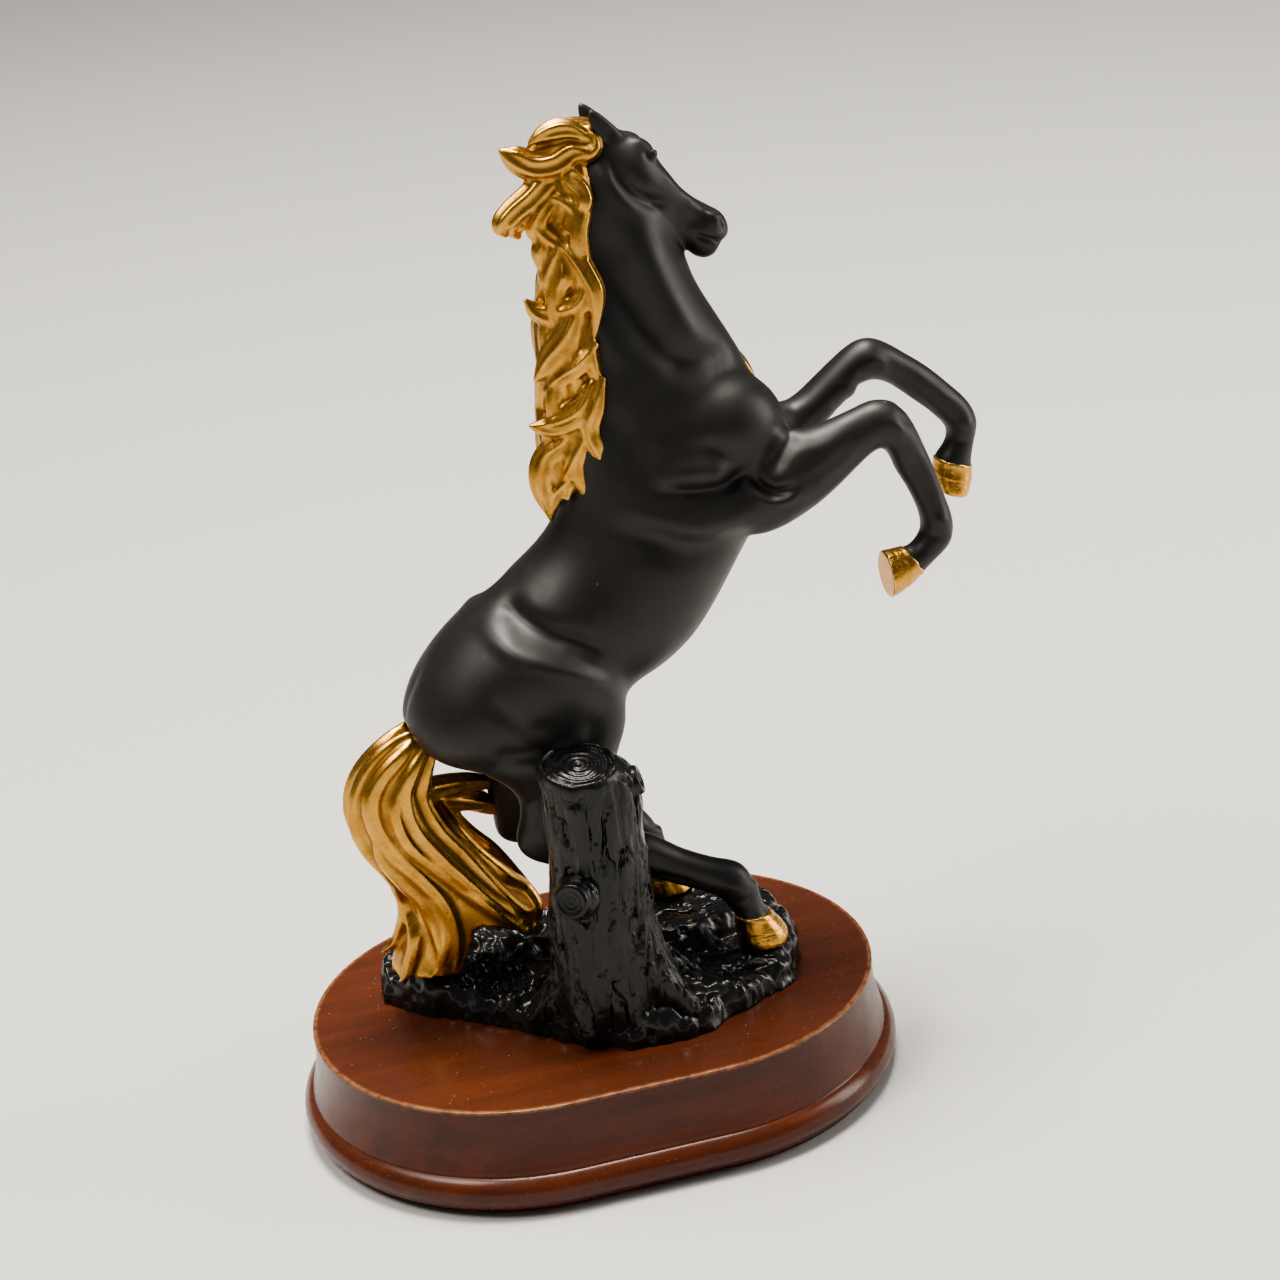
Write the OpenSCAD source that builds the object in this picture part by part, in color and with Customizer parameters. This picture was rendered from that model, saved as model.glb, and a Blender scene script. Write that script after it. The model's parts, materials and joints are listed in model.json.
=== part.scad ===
// Rearing horse statuette: painted castings on a turned and moulded wooden plinth.
// Millimetres, +Z up. The origin is the middle of the underside. The horse faces +X,
// its right side is towards -Y.

/* [Plinth] */
// Length of the plinth's top face
plinth_length = 160; // [140:2:190]
// Width of the plinth's top face
plinth_width = 119; // [100:1:130]
// Height of the plinth, felt included
plinth_height = 30; // [24:1:40]
// How far the bead at the foot stands out past the top edge
bead_out = 5.4; // [3:0.2:7]
// Thickness of the felt pad
felt_thickness = 1.2; // [0.8:0.1:2]

/* [Horse] */
// Fullness of the barrel and quarters, sideways
body_fullness = 1; // [0.85:0.05:1.15]
// Thickness of the tail, sideways
tail_fullness = 1; // [0.8:0.05:1.2]
// Thickness of the mane's locks
mane_fullness = 1; // [0.7:0.05:1.2]

/* [Stump and ground] */
// Radius of the tree stump below its top
stump_radius = 12.4; // [11:0.1:14]
// Depth of the furrows in the bark
bark_depth = 0.7; // [0:0.1:1.2]
// Height of the lumps in the rocky ground
rock_relief = 1.3; // [0:0.1:2]

/* [Fixings] */
// Radius of the dowels that join the castings
dowel_radius = 2; // [1.5:0.1:2.5]
// Radius of the rods that hold the hind hooves to the ground
rod_radius = 1.5; // [1:0.1:2]
// Nominal radius of the two wood screws
screw_radius = 2; // [1.5:0.1:2.5]
// Distance between the two wood screws
screw_spacing = 64; // [50:1:70]

/* [Hidden] */
$fn = 48;
black = "#1c1c1f";
gold = "#c8963c";
wood = "#6e2a17";
steel = "#b5b8bb";
felt_green = "#20352a";

// The figure's sections are drawn for a plinth of this height
drawn_on = 30;
lift = plinth_height - drawn_on;

end_radius = plinth_width / 2;
end_centre = plinth_length / 2 - end_radius;
bead_radius = 5.4;
bead_start = -50;
bead_end = 62;
bead_step = 14;
bead_middle = felt_thickness + 5.3;
cove_depth = 0.3;
edge_chamfer = 0.5;
bore_gap = 0.05;

// The way the screws' heads sit under the felt
head_radius = 2 * screw_radius;
head_height = 2.4;
socket_radius = 1.5;
socket_depth = 1.2;
washer_radius = head_radius + 1.5;
washer_thickness = 1;
head_recess = 2;
counterbore_top = felt_thickness + head_recess + head_height + washer_thickness;
clearance = 0.3;
screw_bite = 4.5;
screw_tip = plinth_height + screw_bite;

// ---------------------------------------------------------------- curves and skins

function clamp_index(p, i) = p[max(0, min(len(p) - 1, i))];

// Place t, from 0 to len(p) - 1, on a smooth open curve through the rows of p
function on_curve(p, t) =
    let (i = min(floor(t), len(p) - 2), u = t - i,
         a = clamp_index(p, i - 1), b = p[i], c = p[i + 1], d = clamp_index(p, i + 2))
    b + 0.5 * u * (c - a + u * (2 * a - 5 * b + 4 * c - d + u * (3 * (b - c) + d - a)));

// Every row of p with steps - 1 rows filled in between each two
function refined(p, steps) = [for (k = [0 : (len(p) - 1) * steps]) on_curve(p, k / steps)];

// The same on a closed curve, for an outline
function on_loop(p, t) =
    let (n = len(p), i = floor(t), u = t - i,
         a = p[(i + n - 1) % n], b = p[i % n], c = p[(i + 1) % n], d = p[(i + 2) % n])
    b + 0.5 * u * (c - a + u * (2 * a - 5 * b + 4 * c - d + u * (3 * (b - c) + d - a)));

function unit(v) = v / norm(v);

// A closed skin over rings that have the same number of points
module skin(rings) {
    n = len(rings[0]);
    last = (len(rings) - 1) * n;
    sides = [for (i = [0 : len(rings) - 2], j = [0 : n - 1])
        let (a = i * n + j, b = i * n + (j + 1) % n)
        each [[a, b + n, a + n], [a, b, b + n]]];
    caps = [[for (j = [n - 1 : -1 : 0]) j], [for (j = [0 : n - 1]) last + j]];
    polyhedron([for (r = rings) each r], concat(sides, caps), convexity = 8);
}

// A section is [x, z at one edge, x, z at the other edge, y, half width, egg]; egg widens
// the first edge's half and narrows the other's
function section_ring(s, n, wave = 0, waves = 8, turn = 0) =
    [for (j = [0 : n - 1])
        let (a = 360 * j / n, r = 1 + wave * cos(waves * a + turn), c = r * cos(a))
        [(s[0] + s[2]) / 2 + (s[0] - s[2]) / 2 * c,
         s[4] + s[5] * r * sin(a) * (1 + s[6] * cos(a)),
         (s[1] + s[3]) / 2 + (s[1] - s[3]) / 2 * c + lift]];

module form(sections, steps = 2, n = 24) {
    skin([for (s = refined(sections, steps)) section_ring(s, n)]);
}

// A lock of hair is a tapering ribbon along [x, y, z, half breadth, half thickness]
function lock_ring(p, k, n) =
    let (here = p[k], ahead = p[min(k + 1, len(p) - 1)], behind = p[max(k - 1, 0)],
         along = unit([for (i = [0 : 2]) ahead[i] - behind[i]]),
         across = unit(cross(along, [0, 1, 0])), out = cross(across, along))
    [for (j = [0 : n - 1])
        let (a = 360 * j / n)
        [for (i = [0 : 2]) here[i] + here[3] * cos(a) * across[i] + here[4] * sin(a) * out[i]]
        + [0, 0, lift]];

module lock(path, steps = 3, n = 10) {
    p = refined(path, steps);
    skin([for (k = [0 : len(p) - 1]) lock_ring(p, k, n)]);
}

// The first child with the others cut out of it, so that the pieces bed into each other
module bedded() {
    resize([0, 0, 0]) difference() {
        children(0);
        union() children([1 : $children - 1]);
    }
}

module dowel(from, to, r) {
    v = to - from;
    translate(from + [0, 0, lift])
        rotate([0, acos(v[2] / norm(v)), atan2(v[1], v[0])])
            cylinder(h = norm(v), r = r);
}

// ---------------------------------------------------------------- the figure's sections

torso_sections = [
    [-44.5, 117, -39.5, 111.5, 0, 4, 0],
    [-43, 121.5, -36, 108.5, 0, 12, 0],
    [-40.5, 128, -28.5, 105, 0, 18.5, 0],
    [-36, 135, -19, 102.5, 0, 22.5, 0],
    [-29.5, 142, -6, 101.5, 0, 24.5, 0.04],
    [-21.5, 148, 6, 104, 0, 25, 0.06],
    [-13.5, 153, 13.5, 111, 0, 24, 0.04],
    [-7, 157.8, 18.5, 119.5, 0, 22, 0],
    [-0.5, 163, 27, 123.7, 0, 22.5, -0.05],
    [4, 168.5, 37, 131, 0, 23.5, -0.08],
    [7, 175, 45.3, 141.5, 0, 24, -0.08],
    [8, 182, 52.5, 152, 0, 23.5, -0.05],
    [9.5, 191, 59, 161, 0, 23, 0],
    [14, 200, 65.5, 171, 0, 22.5, 0.05],
    [22, 205, 69.5, 180, 0, 21, 0.05],
    [32, 207, 68.8, 188, 0, 18, 0],
    [44, 206, 64, 195, 0, 12, 0],
    [52, 203.5, 59.5, 199, 0, 5, 0]];

neck_sections = [
    [8, 176, 58, 187, 0, 16, 0],
    [6, 186, 61.5, 193, 0, 19, 0.05],
    [6.5, 198, 60, 202, 0, 18.5, 0],
    [7.5, 211, 56, 211, 0, 16, -0.1],
    [9, 224, 51, 220.5, 0, 14, -0.1],
    [11, 237, 47, 228.5, 0, 12.5, -0.1],
    [13.5, 249, 43.5, 237, 0, 11.5, -0.08],
    [17.5, 260, 41, 246, 0, 10.5, 0],
    [22.5, 267.5, 38, 254, 0, 8.5, 0],
    [27, 269.5, 35, 262, 0, 4, 0]];

head_sections = [
    [25.5, 270.5, 27, 264, 0, 4, 0],
    [28.5, 269.5, 27.5, 253, 0, 8, 0],
    [34, 267, 30, 246, 0, 9.5, 0],
    [39, 263, 35, 243, 0, 9.2, 0.1],
    [42.5, 258, 39.5, 241, 0, 7.8, 0.2],
    [45.5, 253, 43.2, 238.2, 0, 6.2, 0.2],
    [49.5, 249.5, 46, 235.6, 0, 5.4, 0.1],
    [53.5, 246, 48.5, 233.3, 0, 5.4, 0],
    [56.2, 243.3, 50.5, 232.2, 0, 5, 0],
    [57.7, 240.3, 52.8, 232.8, 0, 4, 0],
    [57.8, 238, 55, 234.8, 0, 2, 0]];

foreleg_right_sections = [
    [46, 186, 42, 168, -8, 6, 0],
    [56, 190, 50, 161, -13, 8, 0],
    [62, 189, 57, 160.5, -15.5, 9.5, 0],
    [69, 187.5, 65, 164, -17.5, 8.5, 0],
    [76, 189, 73, 168.5, -18, 7.2, 0],
    [83, 191, 80.5, 174, -18, 6, 0],
    [88.5, 192.3, 86.5, 178.5, -18, 5.8, 0],
    [94.5, 190.5, 89.5, 179, -18, 5.8, 0],
    [98, 185.5, 91.5, 176.5, -18, 5.2, 0],
    [100.8, 179, 93, 172, -18, 4.4, 0],
    [103.5, 171.5, 95.7, 167, -18, 4.2, 0],
    [106.3, 162.5, 98.2, 161, -18, 4.4, 0],
    [108, 156, 99.3, 156.5, -18, 4.9, 0],
    [107.3, 150, 98.8, 153.5, -18, 4.7, 0],
    [103.5, 146.2, 96.8, 151, -18, 4.2, 0],
    [99.2, 143, 94.9, 149.9, -18, 4.4, 0]];

foreleg_left_sections = [
    [48, 186, 44, 168, 8, 6, 0],
    [60, 190, 54, 162, 12, 8, 0],
    [68, 186, 64, 164, 15, 8.8, 0],
    [76, 184.5, 73, 169, 17, 7.6, 0],
    [84.5, 190, 82.5, 174.5, 18, 6.6, 0],
    [92.5, 196, 91, 181.5, 18, 6, 0],
    [98.5, 198.5, 96.5, 186, 18, 5.8, 0],
    [104, 196.8, 101, 186.3, 18, 5.3, 0],
    [110, 192.5, 105.5, 184, 18, 4.6, 0],
    [116.5, 187.5, 111, 179, 18, 4.3, 0],
    [122.5, 181.5, 116.5, 174, 18, 4.4, 0],
    [127.5, 176, 120, 170.5, 18, 4.8, 0],
    [130, 170, 121.3, 167.5, 18, 4.7, 0],
    [128.8, 164, 120, 164, 18, 4.2, 0],
    [127.5, 158, 117.5, 161.5, 18, 4.8, 0]];

hind_leg_right_sections = [
    [14, 124, -33, 117, -11, 10.5, 0],
    [14, 115, -28, 108.5, -12.5, 11, 0],
    [12.5, 107.5, -21, 102.5, -12, 10, 0],
    [9.5, 100.5, -17, 97, -11.5, 8.5, 0],
    [4, 94, -17, 92, -11, 7.2, 0],
    [0.5, 89, -17.8, 87.5, -10.5, 6.6, 0],
    [0, 84.5, -18.6, 82, -10, 6.2, 0],
    [4, 81.5, -15, 77, -10, 5.8, 0],
    [10, 80.5, -3, 72, -10.5, 5.3, 0],
    [18, 78.5, 10, 68.5, -11, 5, 0],
    [27, 72, 20, 64, -12, 4.8, 0],
    [36, 67.5, 29.5, 59.3, -13, 4.7, 0],
    [42.5, 65, 35.5, 56, -13.5, 5, 0],
    [45.3, 60.5, 37.3, 53, -14, 4.8, 0],
    [46.6, 55.2, 38.9, 51.4, -14, 4.5, 0],
    [48.4, 50, 39.6, 50, -14, 4.9, 0]];

hind_leg_left_sections = [
    [14, 124, -33, 117, 11, 10.5, 0],
    [14, 115, -29, 108.5, 12.5, 11.5, 0],
    [12, 106, -24, 100.5, 13.5, 11, 0],
    [7, 98, -21.5, 93, 15, 9, 0],
    [2, 90, -20.5, 85, 16, 7.5, 0],
    [-1, 84, -19.8, 78, 17, 6.8, 0],
    [-1, 79, -19, 72.5, 17.5, 6.3, 0],
    [3, 77, -14, 69.3, 18, 5.8, 0],
    [9, 76.5, -3, 67, 18, 5.3, 0],
    [16, 75, 7, 65, 18, 5, 0],
    [22.5, 72.5, 15, 62.5, 18, 5.2, 0],
    [26.5, 67, 18.5, 59.5, 18, 4.8, 0],
    [28.3, 62, 20.3, 58, 18, 4.5, 0],
    [30, 57.5, 21.5, 57.5, 18, 5, 0]];

// Hooves, from the coronet to the sole
hoof_fore_right_sections = [
    [99.2, 143, 94.9, 149.9, -18, 4.6, 0],
    [94.6, 139.6, 91.8, 149.9, -18, 5.3, 0],
    [88.8, 137.8, 88.2, 148.8, -18, 5.6, 0]];
hoof_fore_left_sections = [
    [127.5, 158, 117.5, 161.5, 18, 5, 0],
    [127.3, 153.4, 116.6, 156.4, 18, 5.5, 0],
    [124.5, 149, 118.2, 150.8, 18, 5.6, 0]];
hoof_hind_right_sections = [
    [48.4, 50, 39.6, 50, -14, 5.1, 0],
    [51.6, 46.5, 39.6, 46.2, -14, 5.9, 0],
    [53.4, 42.6, 40.4, 42, -14, 6.4, 0],
    [53, 40.2, 41.4, 39.8, -14, 6.2, 0]];
hoof_hind_left_sections = [
    [30, 57.5, 21.5, 57.5, 18, 5.2, 0],
    [32.5, 52, 22, 51, 18, 5.9, 0],
    [35, 45.8, 23, 45.2, 18, 6.4, 0]];

tail_sections = [
    [-33, 109, -43, 119, 0, 5.5, 0],
    [-37.5, 104, -50.5, 114, 0, 7, 0],
    [-39.5, 98.5, -57.5, 106.5, 1, 8.5, 0],
    [-38, 93.5, -61.3, 97, 2, 9.5, 0],
    [-34, 86.5, -60.5, 87.5, 2.5, 10, 0],
    [-29.5, 79.5, -55.5, 78.5, 3, 10, 0],
    [-25.5, 73, -50.7, 70.5, 3.5, 10, 0],
    [-19.5, 65.5, -48.8, 63, 4, 10, 0],
    [-13, 58, -50.8, 56.5, 4.5, 10, 0],
    [-13, 51, -54.5, 49.5, 5, 10, 0],
    [-26, 44, -56, 43, 5, 9.5, 0],
    [-36, 39, -52, 38.5, 5, 8.5, 0]];
// A lock that leaves the tail on its left: [x, y, z, half breadth, half thickness]
tail_side_lock = [
    [-48, 9, 98, 4, 4], [-36, 15, 92, 5, 4], [-27, 17, 87, 5, 4], [-19, 16, 82, 3.5, 3],
    [-13.5, 14, 79.5, 0.6, 0.6]];
tail_strands = 9;
tail_wave = 0.045;
tail_twist = 16;

// Locks of the mane along the crest: [root x, root z, tip x, tip z]
crest_locks = [
    [27, 267, 1.5, 262],
    [22, 258, 1, 244],
    [19, 247, 4.5, 226],
    [17.5, 233, 4, 207],
    [17, 218, 3, 194],
    [16, 206, 4, 181],
    [16, 193, 6, 168]];

// The ridge that the crest's locks spring from: [x, y, z, half breadth, half thickness]
mane_core = [
    [27, 0, 269, 3, 3], [19, 0, 262, 6, 5], [15, 0, 248, 6, 6], [12, 0, 233, 6, 6],
    [10.5, 0, 218, 6, 6], [9.5, 0, 204, 6, 6], [8.5, 0, 190, 6, 5], [7, 0, 172, 3, 2]];
// The same for the locks on the left side of the neck
fall_core = [
    [23, 7, 264, 4, 3], [20, 11, 250, 6, 4], [20, 14, 236, 7, 4], [21, 16, 222, 8, 4],
    [22, 18, 208, 8, 4], [22, 20, 196, 6, 3]];

// Locks that fall on the left side of the neck: [root x, root z, tip x, tip z]
fall_locks = [
    [22, 264, 40, 234],
    [18, 252, 47, 217],
    [16, 240, 55, 203],
    [14, 226, 63, 193],
    [12, 212, 50, 180],
    [10, 200, 34, 172]];

// Outline of the rocky ground, as [x, y] at the plinth
ground_outline = [
    [62, 3], [60, 18], [52, 30], [34, 36], [8, 36], [-20, 35], [-44, 33],
    [-57, 24], [-57, 11], [-46, -1], [-32, -11], [-16, -28], [4, -41], [20, -40],
    [37, -32], [52, -23], [59, -10]];
ground_top = 37;
slab_centre = [26, 14];
slab_size = [21, 22];
slab_rise = 8;
mound_centre = [1, -22];
mound_rise = 8;
mound_size = 17;
step_centre = [47, -14];
step_rise = 3;
step_size = 9;

stump_foot = [1, -22.5, 33];
stump_head = [-0.8, -31, 113];
stump_tilt = 11;

// ---------------------------------------------------------------- plinth and fixings

// Half of the plinth's section, out from the middle line of the oval: a bead at the foot,
// then a wall that rises in a shallow cove
module plinth_profile() {
    bead_x = end_radius + bead_out - bead_radius;
    cove_x = bead_x + bead_radius * cos(bead_end) - end_radius;
    cove_z = bead_middle + bead_radius * sin(bead_end);
    wall = plinth_height - 2 * edge_chamfer - cove_z;
    polygon(concat(
        [[0, felt_thickness], [bead_x + 2, felt_thickness]],
        [for (a = [bead_start : bead_step : bead_end])
            [bead_x + bead_radius * cos(a), bead_middle + bead_radius * sin(a)]],
        [for (t = [0.15 : 0.17 : 1])
            [end_radius + cove_x * (1 - t) ^ 2 - cove_depth * sin(180 * t), cove_z + wall * t]],
        [[end_radius, plinth_height - edge_chamfer],
         [end_radius - edge_chamfer, plinth_height],
         [0, plinth_height]]));
}

module screw_places() {
    for (s = [-1, 1]) translate([s * screw_spacing / 2, 0, 0]) children();
}

module plinth() {
    color(wood) difference() {
        union() {
            for (s = [-1, 1]) translate([s * end_centre, 0, 0]) rotate([0, 0, -90 * s])
                rotate_extrude(angle = 180, $fn = 96) plinth_profile();
            for (s = [0, 180]) rotate([0, 0, s]) translate([end_centre, 0, 0]) rotate([90, 0, -90])
                linear_extrude(2 * end_centre) plinth_profile();
        }
        screw_places() {
            translate([0, 0, -1]) cylinder(h = plinth_height + 2, r = screw_radius + clearance);
            translate([0, 0, -1])
                cylinder(h = counterbore_top + 1, r = washer_radius + 2 * clearance);
        }
    }
}

module felt_pad() {
    color(felt_green) linear_extrude(felt_thickness) {
        for (s = [-1, 1]) translate([s * end_centre, 0]) circle(end_radius - 1, $fn = 96);
        square([2 * end_centre, 2 * end_radius - 2], center = true);
    }
}

module mounting_screws() {
    color(steel) screw_places() {
        translate([0, 0, counterbore_top - washer_thickness - head_height]) difference() {
            cylinder(h = head_height, r1 = head_radius * 0.8, r2 = head_radius);
            translate([0, 0, -0.1])
                cylinder(h = socket_depth + 0.1, r = socket_radius, $fn = 6);
        }
        translate([0, 0, counterbore_top - washer_thickness])
            cylinder(h = screw_tip - counterbore_top + washer_thickness, r = screw_radius);
    }
}

module screw_washers() {
    color(steel) screw_places() translate([0, 0, counterbore_top - washer_thickness]) difference() {
        cylinder(h = washer_thickness, r = washer_radius);
        translate([0, 0, -1]) cylinder(h = washer_thickness + 2, r = screw_radius + bore_gap);
    }
}

// ---------------------------------------------------------------- ground and stump

function bump(p, c, size) = exp(-pow((p[0] - c[0]) / size[0], 4) - pow((p[1] - c[1]) / size[1], 4));
function rise(p, c, size) = exp(-pow((p[0] - c[0]) / size, 2) - pow((p[1] - c[1]) / size, 2));

// Height of the rock at a place: a slab under the left hind hoof, a mound under the stump
// and a step under the right hind hoof
function rock(p) = ground_top
    + slab_rise * bump(p, slab_centre, slab_size)
    + mound_rise * rise(p, mound_centre, mound_size)
    + step_rise * rise(p, step_centre, step_size)
    + rock_relief * (sin(p[0] * 23 + 40 * sin(p[1] * 9)) + 0.7 * sin(p[1] * 31 - p[0] * 13));

ground_spokes = 44;
ground_rings = 7;
ground_middle = [2, -2];

function ground_ring(share, z = undef) =
    [for (j = [0 : ground_spokes - 1])
        let (o = on_loop(ground_outline, len(ground_outline) * j / ground_spokes),
             p = ground_middle + share * (o - ground_middle))
        [p[0], p[1], (is_undef(z) ? rock(p) : z) + lift]];

module ground_form() {
    skin(concat(
        [ground_ring(0.03)],
        [for (k = [1 : ground_rings]) ground_ring(0.97 * k / ground_rings)],
        [ground_ring(1.01, drawn_on + 3), ground_ring(0.99, drawn_on)]));
}

module ground() {
    color(black) difference() {
        bedded() {
            ground_form();
            stump_form();
            tail_form();
            form(hoof_hind_right_sections);
            form(hoof_hind_left_sections);
        }
        screw_places() translate([0, 0, plinth_height - 1])
            cylinder(h = screw_tip - plinth_height + 1, r = screw_radius);
        hind_rod_right();
        hind_rod_left();
    }
}

stump_sides = 40;
// The sawn top, from its middle out: [share of the radius, depth]
cut_face = [[0.2, 0.8], [0.26, 1.2], [0.32, 0.8], [0.5, 0.8], [0.56, 1.2], [0.62, 0.8],
    [0.84, 0.8], [0.88, 0], [0.97, 0]];

// Radius of the trunk: furrowed bark, and five roots that spread at the foot
function trunk_radius(a, t) =
    stump_radius * (1 + 0.03 * cos(2 * a + 40) - 0.04 * t)
    + bark_depth * (cos(15 * a + 60 * t) + 0.6 * cos(26 * a - 90 * t)) * min(1, 6 * (1 - t))
    + (5 + 5 * pow(max(0, cos(2.5 * a + 35)), 2)) * exp(-t * 9);

function trunk_ring(t, share = 1, drop = 0) =
    let (c = stump_foot + t * (stump_head - stump_foot))
    [for (j = [0 : stump_sides - 1])
        let (a = 360 * j / stump_sides, r = share * trunk_radius(a, t), y = r * sin(a))
        c + [r * cos(a), y, t * y * tan(stump_tilt) - drop + lift]];

module stump_form() {
    skin(concat(
        [for (s = cut_face) trunk_ring(1, s[0], s[1])],
        [for (t = [0.97, 0.9, 0.78, 0.64, 0.5, 0.36, 0.24, 0.16, 0.1, 0.05, 0]) trunk_ring(t)]));
}

module stump() {
    color(black) bedded() {
        stump_form();
        form(hind_leg_right_sections);
        torso_form();
        branch_form();
        knot_form();
    }
}

// A sawn branch: a plain round stub with a swollen collar of bark
module stub(length, r) {
    rotate_extrude() polygon([
        [0, -6], [r * 1.25, -6], [r * 1.4, length * 0.3], [r * 1.2, length * 0.75],
        [r, length], [r * 0.7, length - 0.5], [0, length - 0.5]]);
}

module branch_form() {
    translate([-8, -36, 77 + lift]) rotate([80, 0, -35]) stub(6, 4.6);
}

module knot_form() {
    translate([9.5, -31, 107 + lift]) rotate([70, 0, 75]) stub(5.5, 3.2);
}

module branch_stub() {
    color(black) branch_form();
}

module top_knot() {
    color(black) knot_form();
}

// ---------------------------------------------------------------- the horse

function widened(sections, k) = [for (s = sections) [for (i = [0 : 6]) i == 5 ? s[i] * k : s[i]]];

module torso_form() {
    form(widened(torso_sections, body_fullness), 2, 28);
}

module tail_form() {
    p = refined(widened(tail_sections, tail_fullness), 2);
    resize([0, 0, 0]) union() {
        skin([for (k = [0 : len(p) - 1])
            section_ring(p[k], 40, tail_wave * min(1, k / 4), tail_strands, tail_twist * k)]);
        lock(tail_side_lock, 2, 8);
    }
}

module neck_dowel_form(r = dowel_radius) {
    dowel([34, 0, 176], [33, 0, 212], r);
}

module head_dowel_form(r = dowel_radius) {
    dowel([29, 0, 240], [33, 0, 258], r);
}

module tail_dowel_form(r = dowel_radius) {
    dowel([-28, 0, 118], [-47, 0, 104], r);
}

module foreleg_dowel_form(side, r = dowel_radius) {
    dowel([48, side * 13, 172], [72, side * 17, 178], r);
}

module hind_leg_dowel_form(side, r = dowel_radius) {
    dowel([-2, side * 8, 124], [-6, side * 13, 100], r);
}

module hind_rod_right(r = rod_radius) {
    dowel([45, -14, 33], [44, -14, 58], r);
}

module hind_rod_left(r = rod_radius) {
    dowel([27, 18, 33], [26, 18, 64], r);
}

module hind_legs_form() {
    form(hind_leg_right_sections, 2, 16);
    form(hind_leg_left_sections, 2, 16);
}

module forelegs_form() {
    form(foreleg_right_sections, 2, 14);
    form(foreleg_left_sections, 2, 14);
}

module torso() {
    color(black) difference() {
        bedded() {
            torso_form();
            hind_legs_form();
            forelegs_form();
            form(neck_sections, 2, 24);
            tail_form();
        }
        neck_dowel_form();
        tail_dowel_form();
        for (s = [-1, 1]) {
            foreleg_dowel_form(s);
            hind_leg_dowel_form(s);
        }
    }
}

module neck() {
    color(black) difference() {
        bedded() {
            form(neck_sections, 2, 24);
            form(head_sections, 2, 24);
        }
        neck_dowel_form();
        head_dowel_form();
    }
}

module head() {
    color(black) difference() {
        form(head_sections, 2, 24);
        head_dowel_form();
    }
}

// A hollowed, pointed ear
module ear(side) {
    color(black) bedded() {
        lock([[28.8, side * 4, 265.5, 4, 2], [26.2, side * 4.8, 269.8, 3, 1.8],
              [24.3, side * 5.2, 273.2, 1.9, 1.3], [22.8, side * 5.3, 276, 0.3, 0.3]], 3, 12);
        form(head_sections, 2, 24);
    }
}

module mane_lock(l, y, size, sweep) {
    mid = [(l[0] + l[2]) / 2, (l[1] + l[3]) / 2];
    lock([[l[0], y * 0.4, l[1], 4 * size, 3 * size],
          [l[0] * 0.7 + l[2] * 0.3, y * 0.9, l[1] * 0.8 + l[3] * 0.2 + sweep, 5.5 * size, 3.6 * size],
          [mid[0] - 2, y, mid[1] - 1, 6 * size, 3.8 * size],
          [l[2] + 4, y * 0.9, l[3] + 4 - sweep, 4 * size, 3 * size],
          [l[2], y * 0.8, l[3], 0.6, 0.6]], 2, 8);
}

module mane_form() {
    lock(mane_core, 2, 8);
    for (l = crest_locks) {
        mane_lock(l, -6, mane_fullness, 2);
        mane_lock(l + [-1, 4, 3, 6], 0, 0.9 * mane_fullness, 1);
        mane_lock(l + [0, -2, 1, 2], 6, mane_fullness, 2);
    }
}

module mane_fall_form() {
    lock(fall_core, 2, 8);
    for (l = fall_locks) {
        lock([[l[0], 6, l[1], 4, 3 * mane_fullness],
              [l[0] * 0.75 + l[2] * 0.25, 14, l[1] * 0.8 + l[3] * 0.2, 5.5, 4 * mane_fullness],
              [l[0] * 0.45 + l[2] * 0.55, 17, l[1] * 0.45 + l[3] * 0.55, 6, 4 * mane_fullness],
              [l[0] * 0.15 + l[2] * 0.85, 17, l[1] * 0.2 + l[3] * 0.8, 4, 3 * mane_fullness],
              [l[2], 14, l[3], 0.6, 0.6]], 2, 8);
    }
}

module mane() {
    color(gold) bedded() {
        mane_form();
        form(neck_sections, 2, 24);
        form(head_sections, 2, 24);
        torso_form();
    }
}

module mane_fall() {
    color(gold) bedded() {
        mane_fall_form();
        mane_form();
        form(neck_sections, 2, 24);
        form(head_sections, 2, 24);
        torso_form();
    }
}

module foreleg_right() {
    color(black) difference() {
        form(foreleg_right_sections, 2, 14);
        foreleg_dowel_form(-1);
    }
}

module foreleg_left() {
    color(black) difference() {
        form(foreleg_left_sections, 2, 14);
        foreleg_dowel_form(1);
    }
}

module hind_leg_right() {
    color(black) difference() {
        form(hind_leg_right_sections, 2, 16);
        hind_leg_dowel_form(-1);
        hind_rod_right();
    }
}

module hind_leg_left() {
    color(black) difference() {
        bedded() {
            form(hind_leg_left_sections, 2, 16);
            form(hind_leg_right_sections, 2, 16);
        }
        hind_leg_dowel_form(1);
        hind_rod_left();
    }
}

module hoof_fore_right() {
    color(gold) form(hoof_fore_right_sections, 2, 16);
}

module hoof_fore_left() {
    color(gold) form(hoof_fore_left_sections, 2, 16);
}

module hoof_hind_right() {
    color(gold) difference() {
        form(hoof_hind_right_sections, 2, 16);
        hind_rod_right();
    }
}

module hoof_hind_left() {
    color(gold) difference() {
        form(hoof_hind_left_sections, 2, 16);
        hind_rod_left();
    }
}

module tail() {
    color(gold) difference() {
        tail_form();
        tail_dowel_form();
    }
}

module dowels() {
    color(steel) {
        neck_dowel_form();
        head_dowel_form();
        tail_dowel_form();
        for (s = [-1, 1]) {
            foreleg_dowel_form(s);
            hind_leg_dowel_form(s);
        }
    }
}

module hoof_rods() {
    color(steel) {
        hind_rod_right();
        hind_rod_left();
    }
}

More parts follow.
